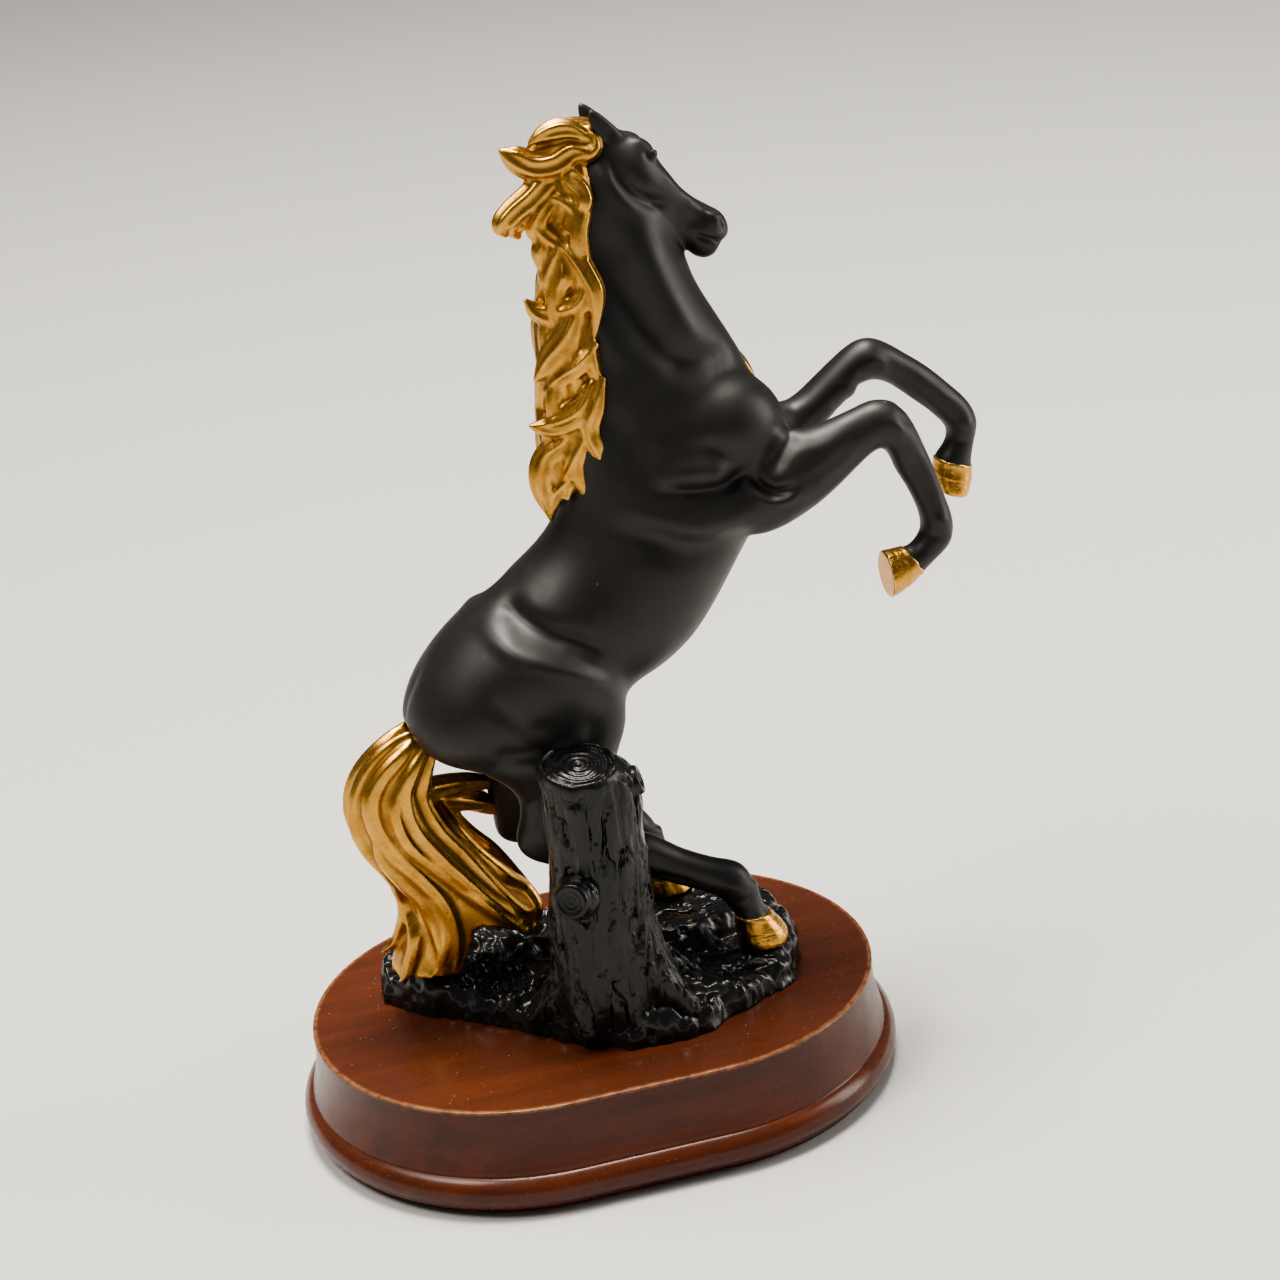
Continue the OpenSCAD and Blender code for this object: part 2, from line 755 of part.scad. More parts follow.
felt_pad();
plinth();
mounting_screws();
screw_washers();
ground();
stump();
branch_stub();
top_knot();
torso();
neck();
head();
ear(-1);  // ear_right
ear(1);  // ear_left
mane();
mane_fall();
foreleg_right();
foreleg_left();
hind_leg_right();
hind_leg_left();
hoof_fore_right();
hoof_fore_left();
hoof_hind_right();
hoof_hind_left();
tail();
dowels();
hoof_rods();
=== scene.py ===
"""Looks for the rearing horse statuette: its castings, its wooden plinth and their finishes.

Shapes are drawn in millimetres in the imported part's own frame, and written to Blender in metres.
The castings are modelled as clay: fields of distances to a surface, which strokes raise or cut.
"""

import json
import math

import bmesh
import bpy
import numpy as np
import openvdb as vdb
from mathutils import Matrix, Vector
from mathutils.bvhtree import BVHTree

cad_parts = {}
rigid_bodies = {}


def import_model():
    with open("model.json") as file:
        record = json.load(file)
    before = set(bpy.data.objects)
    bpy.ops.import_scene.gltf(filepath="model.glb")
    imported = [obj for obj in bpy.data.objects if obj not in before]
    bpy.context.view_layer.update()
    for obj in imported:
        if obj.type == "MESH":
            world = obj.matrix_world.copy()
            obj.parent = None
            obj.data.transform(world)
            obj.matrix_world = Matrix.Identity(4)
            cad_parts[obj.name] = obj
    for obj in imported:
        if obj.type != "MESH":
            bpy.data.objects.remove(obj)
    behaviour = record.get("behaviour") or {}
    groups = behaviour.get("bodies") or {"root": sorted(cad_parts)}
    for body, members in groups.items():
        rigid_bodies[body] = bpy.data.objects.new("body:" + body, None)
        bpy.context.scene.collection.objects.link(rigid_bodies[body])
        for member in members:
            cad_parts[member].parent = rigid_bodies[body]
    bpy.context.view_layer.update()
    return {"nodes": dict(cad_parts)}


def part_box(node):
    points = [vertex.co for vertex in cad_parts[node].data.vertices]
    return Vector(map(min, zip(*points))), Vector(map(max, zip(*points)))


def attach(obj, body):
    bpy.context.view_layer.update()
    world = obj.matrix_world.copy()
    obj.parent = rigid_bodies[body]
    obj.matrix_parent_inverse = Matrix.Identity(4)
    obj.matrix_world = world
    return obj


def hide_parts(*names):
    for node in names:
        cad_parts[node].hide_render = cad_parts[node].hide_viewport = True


MM = 0.001
REACH = 7.0  # how far from a surface, in millimetres, the horse's distance field is exact
NEAR = 2.4  # the same for the finer castings

for left_over in list(bpy.data.objects):
    bpy.data.objects.remove(left_over)
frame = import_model()
nodes = frame["nodes"]


# ------------------------------------------------------------------ curves and noise


def smooth_path(rows, steps):
    """Catmull-Rom curve through rows of numbers, with that many steps to a span."""
    rows = np.asarray(rows, float)
    rows = np.vstack([2 * rows[0] - rows[1], rows, 2 * rows[-1] - rows[-2]])
    t = np.linspace(0, 1, steps, endpoint=False)[:, None]
    spans = [
        b + 0.5 * t * (c - a + t * (2 * a - 5 * b + 4 * c - d + t * (3 * (b - c) + d - a)))
        for a, b, c, d in zip(rows, rows[1:], rows[2:], rows[3:])
    ]
    return np.vstack(spans + [rows[-2:-1]])


def smooth_step(low, high, value):
    t = np.clip((value - low) / (high - low), 0, 1)
    return t * t * (3 - 2 * t)


def noise(x, y, z, seed):
    """Smooth noise from -1 to 1, about one lump to a unit. The coordinates may broadcast."""
    size = 32
    table = np.random.default_rng(seed).uniform(-1, 1, (size, size, size)).astype(np.float32)
    corners = []
    for v in (x, y, z):
        whole = np.floor(v).astype(int)
        part = (v - whole).astype(np.float32)
        corners.append((whole % size, (whole + 1) % size, part * part * (3 - 2 * part)))
    (x0, x1, u), (y0, y1, v), (z0, z1, w) = corners
    low = (table[x0, y0, z0] * (1 - u) + table[x1, y0, z0] * u) * (1 - v)
    low += (table[x0, y1, z0] * (1 - u) + table[x1, y1, z0] * u) * v
    high = (table[x0, y0, z1] * (1 - u) + table[x1, y0, z1] * u) * (1 - v)
    high += (table[x0, y1, z1] * (1 - u) + table[x1, y1, z1] * u) * v
    return low * (1 - w) + high * w


def soft_min(a, b, k):
    """The smaller of two fields, rounded over k millimetres where they meet."""
    h = np.maximum(k - np.abs(a - b), 0) / k
    return np.minimum(a, b) - h * h * k / 4


def soft_max(a, b, k):
    return -soft_min(-a, -b, k)


# ------------------------------------------------------------------ clay


def mesh_arrays(node):
    """A CAD node's points, in millimetres, and its triangles."""
    mesh = nodes[node].data
    mesh.calc_loop_triangles()
    points = np.empty(len(mesh.vertices) * 3, np.float32)
    mesh.vertices.foreach_get("co", points)
    faces = np.empty(len(mesh.loop_triangles) * 3, np.int32)
    mesh.loop_triangles.foreach_get("vertices", faces)
    return points.reshape(-1, 3) / MM, faces.reshape(-1, 3)


def joined(meshes):
    """Several (points, faces) as one."""
    points, faces, first = [], [], 0
    for p, f in meshes:
        points.append(p)
        faces.append(f + first)
        first += len(p)
    return np.vstack(points), np.vstack(faces)


def level_set(points, faces, voxel, reach=REACH):
    kind = "quads" if faces.shape[1] == 4 else "triangles"
    return vdb.FloatGrid.createLevelSetFromPolygons(
        points.astype(np.float32),
        transform=vdb.createLinearTransform(voxelSize=voxel),
        halfWidth=reach / voxel,
        **{kind: faces.astype(np.uint32)},
    )


def largest_shell(points, faces):
    """Only the connected surface that has the most points."""
    label = np.arange(len(points))
    while True:
        low = label[faces].min(1)
        before = label.copy()
        for k in range(faces.shape[1]):
            np.minimum.at(label, faces[:, k], low)
        label = label[label]
        if (label == before).all():
            break
    best = np.bincount(label).argmax()
    keep = label == best
    place = np.cumsum(keep) - 1
    return points[keep], place[faces[keep[faces[:, 0]]]]


class Clay:
    """A block of clay: distances to its surface on a grid, negative inside."""

    def __init__(self, low, high, voxel, reach=REACH):
        self.voxel, self.reach = voxel, reach
        self.start = np.floor(np.asarray(low) / voxel).astype(int)
        size = np.ceil(np.asarray(high) / voxel).astype(int) - self.start
        self.field = np.full(size, reach, np.float32)
        self.axes = [
            ((self.start[k] + np.arange(size[k])) * voxel).astype(np.float32) for k in range(3)
        ]

    def coordinates(self, block=(slice(None),) * 3):
        return np.meshgrid(
            *[axis[part] for axis, part in zip(self.axes, block)], indexing="ij", sparse=True
        )

    def read(self, grid):
        """The values that a level set has on this block's grid."""
        values = np.empty(self.field.shape, np.float32)
        grid.copyToArray(values, ijk=tuple(int(k) for k in self.start))
        return values

    def block(self, low, high):
        """The part of the grid between two corners; None stands for the whole of an axis."""
        parts = []
        for k in range(3):
            if low[k] is None:
                parts.append(slice(None))
                continue
            first = int(math.floor(low[k] / self.voxel)) - self.start[k]
            last = int(math.ceil(high[k] / self.voxel)) - self.start[k] + 1
            count = self.field.shape[k]
            parts.append(slice(min(max(first, 0), count), min(max(last, 0), count)))
        return tuple(parts)

    def stroke(self, path, width, height, inner=None, fade=0.3):
        """Raises a ridge along a path, or cuts a groove where height is negative. Rows are
        (x, y, z), or (x, z) through the whole body. Between the two distances of inner it fades
        towards the body's middle plane."""
        path = smooth_path(path, 6)
        if path.shape[1] == 2:
            path = np.insert(path, 1, np.nan, axis=1)
        flat = np.isnan(path[0, 1])
        low, high = path.min(0) - 2.6 * width, path.max(0) + 2.6 * width
        ends = [[None if flat and k == 1 else v[k] for k in range(3)] for v in (low, high)]
        block = self.block(*ends)
        here = self.coordinates(block)
        used = (0, 2) if flat else (0, 1, 2)
        strength = np.zeros(1, np.float32)
        count = len(path) - 1
        for k in range(count):
            a, along = path[k], path[k + 1] - path[k]
            length2 = sum(along[i] ** 2 for i in used) + 1e-9
            t = np.clip(sum((here[i] - a[i]) * along[i] for i in used) / length2, 0, 1)
            gap2 = sum((here[i] - a[i] - t * along[i]) ** 2 for i in used)
            s = (k + t) / count
            ends = smooth_step(0, fade, np.minimum(s, 1 - s)) * 0.9 + 0.1
            strength = np.maximum(strength, ends * np.exp(-gap2 / width**2))
        if inner is not None:
            strength = strength * smooth_step(*inner, np.abs(here[1]))
        self.field[block] -= (height * strength).astype(np.float32)

    def ball(self, centre, radii, soft, sign=1):
        """Adds a ball, or takes one away where sign is negative, blended over soft."""
        centre, radii = np.asarray(centre, float), np.asarray(radii, float) * np.ones(3)
        block = self.block(centre - radii - 2 * soft, centre + radii + 2 * soft)
        here = self.coordinates(block)
        away = np.sqrt(sum(((here[k] - centre[k]) / radii[k]) ** 2 for k in range(3)))
        gap = ((away - 1) * radii.min()).astype(np.float32)
        old = self.field[block]
        self.field[block] = soft_min(old, gap, soft) if sign > 0 else soft_max(old, -gap, soft)

    def cast(self, field=None):
        """The surface as (points, quads)."""
        grid = vdb.FloatGrid(self.reach)
        grid.copyFromArray(
            np.ascontiguousarray(self.field if field is None else field),
            ijk=tuple(int(k) for k in self.start),
        )
        grid.transform = vdb.createLinearTransform(voxelSize=self.voxel)
        points, quads = grid.convertToQuads(0)
        return points, quads.astype(np.int64)


def blurred(field, sigma):
    """Gaussian blur over sigma grid steps."""
    reach = max(1, int(math.ceil(2.4 * sigma)))
    weights = np.exp(-0.5 * (np.arange(-reach, reach + 1) / sigma) ** 2)
    weights = (weights / weights.sum()).astype(np.float32)
    for axis in range(3):
        padded = np.pad(
            field, [(reach, reach) if k == axis else (0, 0) for k in range(3)], mode="edge"
        )
        total = np.zeros_like(field)
        for k, weight in enumerate(weights):
            cut = [slice(None)] * 3
            cut[axis] = slice(k, k + field.shape[axis])
            total += weight * padded[tuple(cut)]
        field = total
    return field


def span(names, margin):
    """The corners of a box round CAD nodes, in millimetres."""
    boxes = [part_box(name) for name in names]
    low = np.min([b[0] for b in boxes], axis=0) / MM - margin
    high = np.max([b[1] for b in boxes], axis=0) / MM + margin
    return low, high


# ------------------------------------------------------------------ meshes


def relaxed(points, edges, rounds):
    """Points drawn towards the middle of their neighbours."""
    count = np.bincount(edges.ravel(), minlength=len(points))
    for _ in range(rounds):
        middle = np.empty_like(points)
        for k in range(3):
            total = np.bincount(edges[:, 0], points[edges[:, 1], k], len(points))
            total += np.bincount(edges[:, 1], points[edges[:, 0], k], len(points))
            middle[:, k] = total / count
        points = 0.5 * (points + middle)
    return points


def make_piece(name, points, faces, material, replaced, smoothing=1, wear=0.35):
    """A mesh that rides on the statuette and stands for CAD nodes. Its "hollow" attribute runs
    from -1 on edges to 1 in hollows that are wear millimetres deep."""
    mesh = bpy.data.meshes.new(name)
    mesh.from_pydata((points * MM).tolist(), [], [tuple(face) for face in faces])
    edges = np.empty(len(mesh.edges) * 2, np.int32)
    mesh.edges.foreach_get("vertices", edges)
    edges = edges.reshape(-1, 2)
    points = relaxed(points.astype(float), edges, smoothing)
    mesh.vertices.foreach_set("co", (points * MM).astype(np.float32).ravel())
    mesh.shade_smooth()
    mesh.update()
    normals = np.empty(len(points) * 3, np.float32)
    mesh.vertex_normals.foreach_get("vector", normals)
    depth = ((relaxed(points, edges, 14) - points) * normals.reshape(-1, 3)).sum(1) / wear
    hollow = mesh.attributes.new("hollow", "FLOAT", "POINT")
    hollow.data.foreach_set("value", np.clip(depth, -1, 1).astype(np.float32))
    mesh.materials.append(material)
    obj = bpy.data.objects.new(name, mesh)
    bpy.context.scene.collection.objects.link(obj)
    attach(obj, "root")
    if replaced:
        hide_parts(*replaced)
    return obj


def tress(path, strands=3, groove=0.16, twist=0.0, sides=30, steps=9, lean=(0, 1, 0)):
    """A lock of hair along rows of (x, y, z, half breadth, half thickness), grooved into
    strands that turn with twist. The lock's flat side faces along lean."""
    rows = smooth_path(path, steps)
    centre, sizes = rows[:, :3], np.maximum(rows[:, 3:], 0.25)
    along = np.gradient(centre, axis=0)
    along /= np.linalg.norm(along, axis=1)[:, None]
    across = np.cross(along, lean)
    across /= np.maximum(np.linalg.norm(across, axis=1)[:, None], 1e-6)
    out = np.cross(across, along)
    angle = np.linspace(0, 2 * np.pi, sides, endpoint=False)[None, :]
    place = np.linspace(0, 1, len(rows))[:, None]
    turn = angle * strands + twist * place * 2 * np.pi
    wave = 1 - groove * (1 - np.abs(np.cos(turn))) * smooth_step(0, 0.12, place)
    ring = (
        centre[:, None]
        + (sizes[:, :1] * np.cos(angle) * wave)[..., None] * across[:, None]
        + (sizes[:, 1:] * np.sin(angle) * wave)[..., None] * out[:, None]
    )
    count = len(rows)
    points = np.vstack([ring.reshape(-1, 3), centre[:1], centre[-1:]])
    i, j = np.meshgrid(np.arange(count - 1), np.arange(sides), indexing="ij")
    a, b = i * sides + j, i * sides + (j + 1) % sides
    quads = np.stack([a, b, b + sides, a + sides], -1).reshape(-1, 4)
    tris = np.vstack([quads[:, [0, 1, 2]], quads[:, [0, 2, 3]]])
    j = np.arange(sides)
    k = (j + 1) % sides
    start, end = count * sides, count * sides + 1
    last = (count - 1) * sides
    caps = np.vstack(
        [
            np.stack([k, j, np.full(sides, start)], 1),
            np.stack([last + j, last + k, np.full(sides, end)], 1),
        ]
    )
    return points, np.vstack([tris, caps])


# ------------------------------------------------------------------ materials


def new_material(name):
    material = bpy.data.materials.new(name)
    material.use_nodes = True
    tree = material.node_tree
    tree.nodes.clear()
    output = tree.nodes.new("ShaderNodeOutputMaterial")
    shader = tree.nodes.new("ShaderNodeBsdfPrincipled")
    tree.links.new(shader.outputs[0], output.inputs[0])
    return material, tree, shader


def add(tree, kind, inputs=None, **settings):
    """A node with settings; inputs maps socket names or numbers to values or sockets."""
    node = tree.nodes.new("ShaderNode" + kind)
    for key, value in settings.items():
        setattr(node, key, value)
    for key, value in (inputs or {}).items():
        socket = node.inputs[key]
        if isinstance(value, bpy.types.NodeSocket):
            tree.links.new(value, socket)
        else:
            socket.default_value = value
    return node


def place_in_mm(tree, stretch=(1, 1, 1)):
    """Where a point is on the object, in millimetres, with each axis divided by stretch."""
    where = add(tree, "TexCoord").outputs["Object"]
    scale = [1 / MM / s for s in stretch]
    return add(tree, "Mapping", {"Vector": where, "Scale": scale}).outputs[0]


def grains(tree, where, size, detail=3.0, rough=0.6):
    """Noise from 0 to 1 whose lumps are size millimetres across."""
    inputs = {"Vector": where, "Scale": 1 / size, "Detail": detail, "Roughness": rough}
    return add(tree, "TexNoise", inputs).outputs[0]


def ramp(tree, value, *stops):
    """Maps a value to colours or greys at the given stops of (place, colour or grey)."""
    node = add(tree, "ValToRGB", {0: value})
    points = node.color_ramp.elements
    while len(points) < len(stops):
        points.new(0.5)
    for point, (place, colour) in zip(points, stops):
        point.position = place
        grey = isinstance(colour, (int, float))
        point.color = (colour,) * 3 + (1,) if grey else tuple(colour) + (1,)
    return node.outputs[0]


def blend_colour(tree, share, a, b, mode="MIX"):
    node = add(tree, "Mix", data_type="RGBA", blend_type=mode)
    for key, value in ((0, share), (6, a), (7, b)):
        if isinstance(value, bpy.types.NodeSocket):
            tree.links.new(value, node.inputs[key])
        else:
            node.inputs[key].default_value = value if key == 0 else tuple(value) + (1,)
    return node.outputs[2]


def math_node(tree, operation, a, b=0.0, clamp=False):
    return add(tree, "Math", {0: a, 1: b}, operation=operation, use_clamp=clamp).outputs[0]


def bump(tree, shader, height, distance, strength=1.0):
    inputs = {"Height": height, "Distance": distance * MM, "Strength": strength}
    tree.links.new(add(tree, "Bump", inputs).outputs[0], shader.inputs["Normal"])


def hollows(tree):
    """From 0 on sharp edges, through 0.5 on plain surface, to 1 in hollows."""
    value = add(tree, "Attribute", attribute_name="hollow").outputs["Fac"]
    return add(tree, "MapRange", {0: value, 1: -1.0, 2: 1.0}).outputs[0]


def specks(tree, where, size, share):
    """Small round dust specks, 1 on a speck; size is the gap between them in millimetres."""
    dots = add(tree, "TexVoronoi", {"Vector": where, "Scale": 1 / size})
    chosen = ramp(tree, dots.outputs["Color"], (1 - share, 0), (1 - share + 0.02, 1))
    near = ramp(tree, dots.outputs["Distance"], (0.05, 1), (0.11, 0))
    return math_node(tree, "MULTIPLY", chosen, near)


def upward(tree):
    """1 on surfaces that face up, where dust settles."""
    normal = add(tree, "NewGeometry").outputs["Normal"]
    z = add(tree, "SeparateXYZ", {0: normal}).outputs[2]
    return add(tree, "MapRange", {0: z, 1: 0.0, 2: 0.9}).outputs[0]


def satin_black():
    """The horse: satin black lacquer on a casting, with fine dust and faint rubbed edges."""
    material, tree, shader = new_material("satin_black")
    where = place_in_mm(tree)
    cloud = grains(tree, where, 14)
    fine = grains(tree, where, 0.5, 4.0, 0.7)
    paint = ramp(tree, cloud, (0.3, (0.0052, 0.0044, 0.0038)), (0.7, (0.0098, 0.0082, 0.007)))
    pale_edges = ramp(tree, hollows(tree), (0.0, 1), (0.3, 0))
    paint = blend_colour(tree, math_node(tree, "MULTIPLY", pale_edges, 0.6), paint, (0.03, 0.027, 0.024))
    dust = math_node(tree, "MULTIPLY", specks(tree, where, 2.4, 0.16), upward(tree))
    film = math_node(tree, "MULTIPLY", upward(tree), 0.05)
    paint = blend_colour(tree, film, paint, (0.09, 0.08, 0.07))
    paint = blend_colour(tree, math_node(tree, "MULTIPLY", dust, 0.7), paint, (0.5, 0.48, 0.44))
    tree.links.new(paint, shader.inputs["Base Color"])
    gloss = ramp(tree, grains(tree, where, 5), (0.3, 0.42), (0.7, 0.5))
    tree.links.new(gloss, shader.inputs["Roughness"])
    shader.inputs["Specular IOR Level"].default_value = 0.45
    bump(tree, shader, fine, 0.05, 0.35)
    return material


def gilt(name, patina=0.5):
    """Metallic gold paint with a brown wash that stays in the hollows, and a painted highlight of
    pale gold on the sharp edges.
    """
    material, tree, shader = new_material(name)
    where = place_in_mm(tree)
    cloud = grains(tree, where, 7)
    fine = grains(tree, where, 0.7, 5.0, 0.7)
    gold = ramp(tree, cloud, (0.3, (0.46, 0.235, 0.05)), (0.7, (0.64, 0.365, 0.095)))
    wash = math_node(tree, "ADD", hollows(tree), math_node(tree, "MULTIPLY", fine, 0.18))
    wash = ramp(tree, wash, (patina + 0.08, 0), (patina + 0.34, 1))
    colour = blend_colour(tree, wash, gold, (0.10, 0.034, 0.005))
    # Painted highlight: the sharp edges of the locks are coloured pale gold, as if lit.
    painted_highlight = ramp(tree, hollows(tree), (0.05, 1), (0.38, 0))
    colour = blend_colour(tree, painted_highlight, colour, (0.92, 0.66, 0.28))
    dust = math_node(tree, "MULTIPLY", specks(tree, where, 1.9, 0.12), upward(tree))
    colour = blend_colour(tree, math_node(tree, "MULTIPLY", dust, 0.5), colour, (0.85, 0.8, 0.7))
    tree.links.new(colour, shader.inputs["Base Color"])
    metal = math_node(tree, "SUBTRACT", 1.0, math_node(tree, "MULTIPLY", wash, 0.45))
    tree.links.new(metal, shader.inputs["Metallic"])
    gloss = ramp(tree, fine, (0.3, 0.24), (0.7, 0.38))
    duller = math_node(tree, "MULTIPLY", wash, 0.22)
    tree.links.new(math_node(tree, "ADD", gloss, duller), shader.inputs["Roughness"])
    bump(tree, shader, fine, 0.09, 0.5)
    return material


def wet_rock(name, stretch, shine):
    """Black lacquer over rock and bark, with a painted grey highlight on its edges; shine is its
    coat's weight.
    """
    material, tree, shader = new_material(name)
    where = place_in_mm(tree, stretch)
    cloud = grains(tree, where, 9)
    fine = grains(tree, where, 0.9, 6.0, 0.7)
    paint = ramp(tree, cloud, (0.3, (0.0045, 0.0045, 0.0047)), (0.7, (0.01, 0.0097, 0.0095)))
    # Painted highlight: the edges are lightened towards grey, standing in for the sheen that light
    # puts on the rims.
    pale_edges = ramp(tree, hollows(tree), (0.02, 1), (0.3, 0))
    paint = blend_colour(tree, math_node(tree, "MULTIPLY", pale_edges, 0.22), paint, (0.05, 0.047, 0.043))
    tree.links.new(paint, shader.inputs["Base Color"])
    gloss = ramp(tree, grains(tree, where, 3), (0.3, 0.2), (0.7, 0.38))
    tree.links.new(gloss, shader.inputs["Roughness"])
    shader.inputs["Specular IOR Level"].default_value = 0.3
    shader.inputs["Coat Weight"].default_value = shine
    shader.inputs["Coat Roughness"].default_value = 0.15
    bump(tree, shader, fine, 0.15, 0.5)
    return material


def lacquered_wood():
    """Mahogany stain under lacquer; the top catches dust and its edge is rubbed pale."""
    material, tree, shader = new_material("lacquered_wood")
    along = place_in_mm(tree, (14, 1.6, 1.6))
    where = place_in_mm(tree)
    figure = grains(tree, along, 4.0, 5.0, 0.6)
    pores = grains(tree, place_in_mm(tree, (9, 0.5, 0.5)), 1.0, 3.0, 0.5)
    dark_stain, middle_stain, light_stain = (
        (0.038, 0.0052, 0.0018), (0.058, 0.009, 0.0028), (0.086, 0.015, 0.0042),
    )
    stain = ramp(tree, figure, (0.3, dark_stain), (0.5, middle_stain), (0.72, light_stain))
    dark = ramp(tree, pores, (0.56, 0), (0.68, 1))
    stain = blend_colour(tree, math_node(tree, "MULTIPLY", dark, 0.5), stain, (0.045, 0.012, 0.005))
    edges = ramp(tree, hollows(tree), (0.0, 1), (0.3, 0))
    patches = ramp(tree, grains(tree, where, 3), (0.35, 0.1), (0.6, 0.5))
    worn = math_node(tree, "MULTIPLY", edges, patches)
    stain = blend_colour(tree, worn, stain, (0.38, 0.18, 0.085))
    dust = math_node(tree, "MULTIPLY", specks(tree, where, 1.6, 0.3), upward(tree))
    film = math_node(tree, "MULTIPLY", upward(tree), 0.06)
    stain = blend_colour(tree, film, stain, (0.5, 0.25, 0.13))
    stain = blend_colour(tree, math_node(tree, "MULTIPLY", dust, 0.55), stain, (0.75, 0.6, 0.48))
    tree.links.new(stain, shader.inputs["Base Color"])
    gloss = ramp(tree, grains(tree, where, 6), (0.3, 0.24), (0.7, 0.34))
    tree.links.new(gloss, shader.inputs["Roughness"])
    shader.inputs["Specular IOR Level"].default_value = 0.28
    shader.inputs["Coat Weight"].default_value = 0.12
    shader.inputs["Coat Roughness"].default_value = 0.16
    bump(tree, shader, pores, 0.03, 0.3)
    return material


def green_felt():
    material, tree, shader = new_material("green_felt")
    where = place_in_mm(tree)
    fibres = grains(tree, where, 0.35, 6.0, 0.75)
    nap = ramp(tree, fibres, (0.3, (0.015, 0.035, 0.022)), (0.7, (0.05, 0.11, 0.07)))
    tree.links.new(nap, shader.inputs["Base Color"])
    tree.links.new(ramp(tree, fibres, (0.3, 0.98), (0.7, 0.85)), shader.inputs["Roughness"])
    shader.inputs["Sheen Weight"].default_value = 0.35
    bump(tree, shader, fibres, 0.3, 0.9)
    return material


def zinc_steel():
    material, tree, shader = new_material("zinc_steel")
    where = place_in_mm(tree)
    crystals = add(tree, "TexVoronoi", {"Vector": where, "Scale": 1.4}).outputs["Color"]
    plate = ramp(tree, crystals, (0.2, (0.42, 0.43, 0.44)), (0.8, (0.62, 0.63, 0.63)))
    tree.links.new(plate, shader.inputs["Base Color"])
    shader.inputs["Metallic"].default_value = 1.0
    brushed = grains(tree, place_in_mm(tree, (1, 1, 12)), 0.3)
    tree.links.new(ramp(tree, brushed, (0.3, 0.25), (0.7, 0.42)), shader.inputs["Roughness"])
    bump(tree, shader, brushed, 0.02, 0.4)
    return material


HORSE = satin_black()
GOLD = gilt("gilt_hair")
HOOF_GOLD = gilt("gilt_hoof", 0.55)
ROCK = wet_rock("wet_rock", (1, 1, 1), 0.4)
BARK = wet_rock("wet_bark", (0.6, 0.6, 3), 0.12)
WOOD = lacquered_wood()
FELT = green_felt()
STEEL = zinc_steel()


# ------------------------------------------------------------------ the horse

# Each hoof's y, the toe's and the heel's (x, z) at its coronet, and the same at its sole
HOOVES = {
    "hoof_fore_right": (-18, (99.2, 143), (94.9, 149.9), (88.8, 137.8), (88.2, 148.8)),
    "hoof_fore_left": (18, (127.5, 158), (117.5, 161.5), (124.5, 149), (118.2, 150.8)),
    "hoof_hind_right": (-14, (48.4, 50), (39.6, 50), (53, 40.2), (41.4, 39.8)),
    "hoof_hind_left": (18, (30, 57.5), (21.5, 57.5), (35, 45.8), (23, 45.2)),
}

# How far each casting's CAD facets are smoothed away, in millimetres
SOFTNESS = {
    "torso": 2.5,
    "neck": 2.5,
    "head": 0.8,
    "ear_right": 0.45,
    "ear_left": 0.45,
    "foreleg_right": 1.0,
    "foreleg_left": 1.0,
    "hind_leg_right": 1.1,
    "hind_leg_left": 1.1,
}

SOFTNESS_BLEND = 1.2  # over how many millimetres one casting's softness passes to the next's
SKIN_GROWTH = 0.12  # makes good what the smoothing takes away

# Masses added on both sides of the horse: (x, y, z), radii, blend
MASSES = [
    # Chest, elbow, stifle and brow
    ((49, 9, 189.5), (16.5, 14, 14.5), 2.5),
    ((42, 12.5, 170), (15, 10, 8), 6),
    ((52.5, 14, 170.5), (9, 9.3, 6.5), 3),
    ((7.4, 13.2, 118.5), (6.4, 7.4, 8.6), 4),
    ((34.8, 4.6, 262.2), (3.7, 2.9, 3.7), 3.2),
]

# Between these two distances from the horse's middle plane a stroke fades away
BODY_MIDDLE, FACE_MIDDLE = (3, 10), (0.5, 3.5)

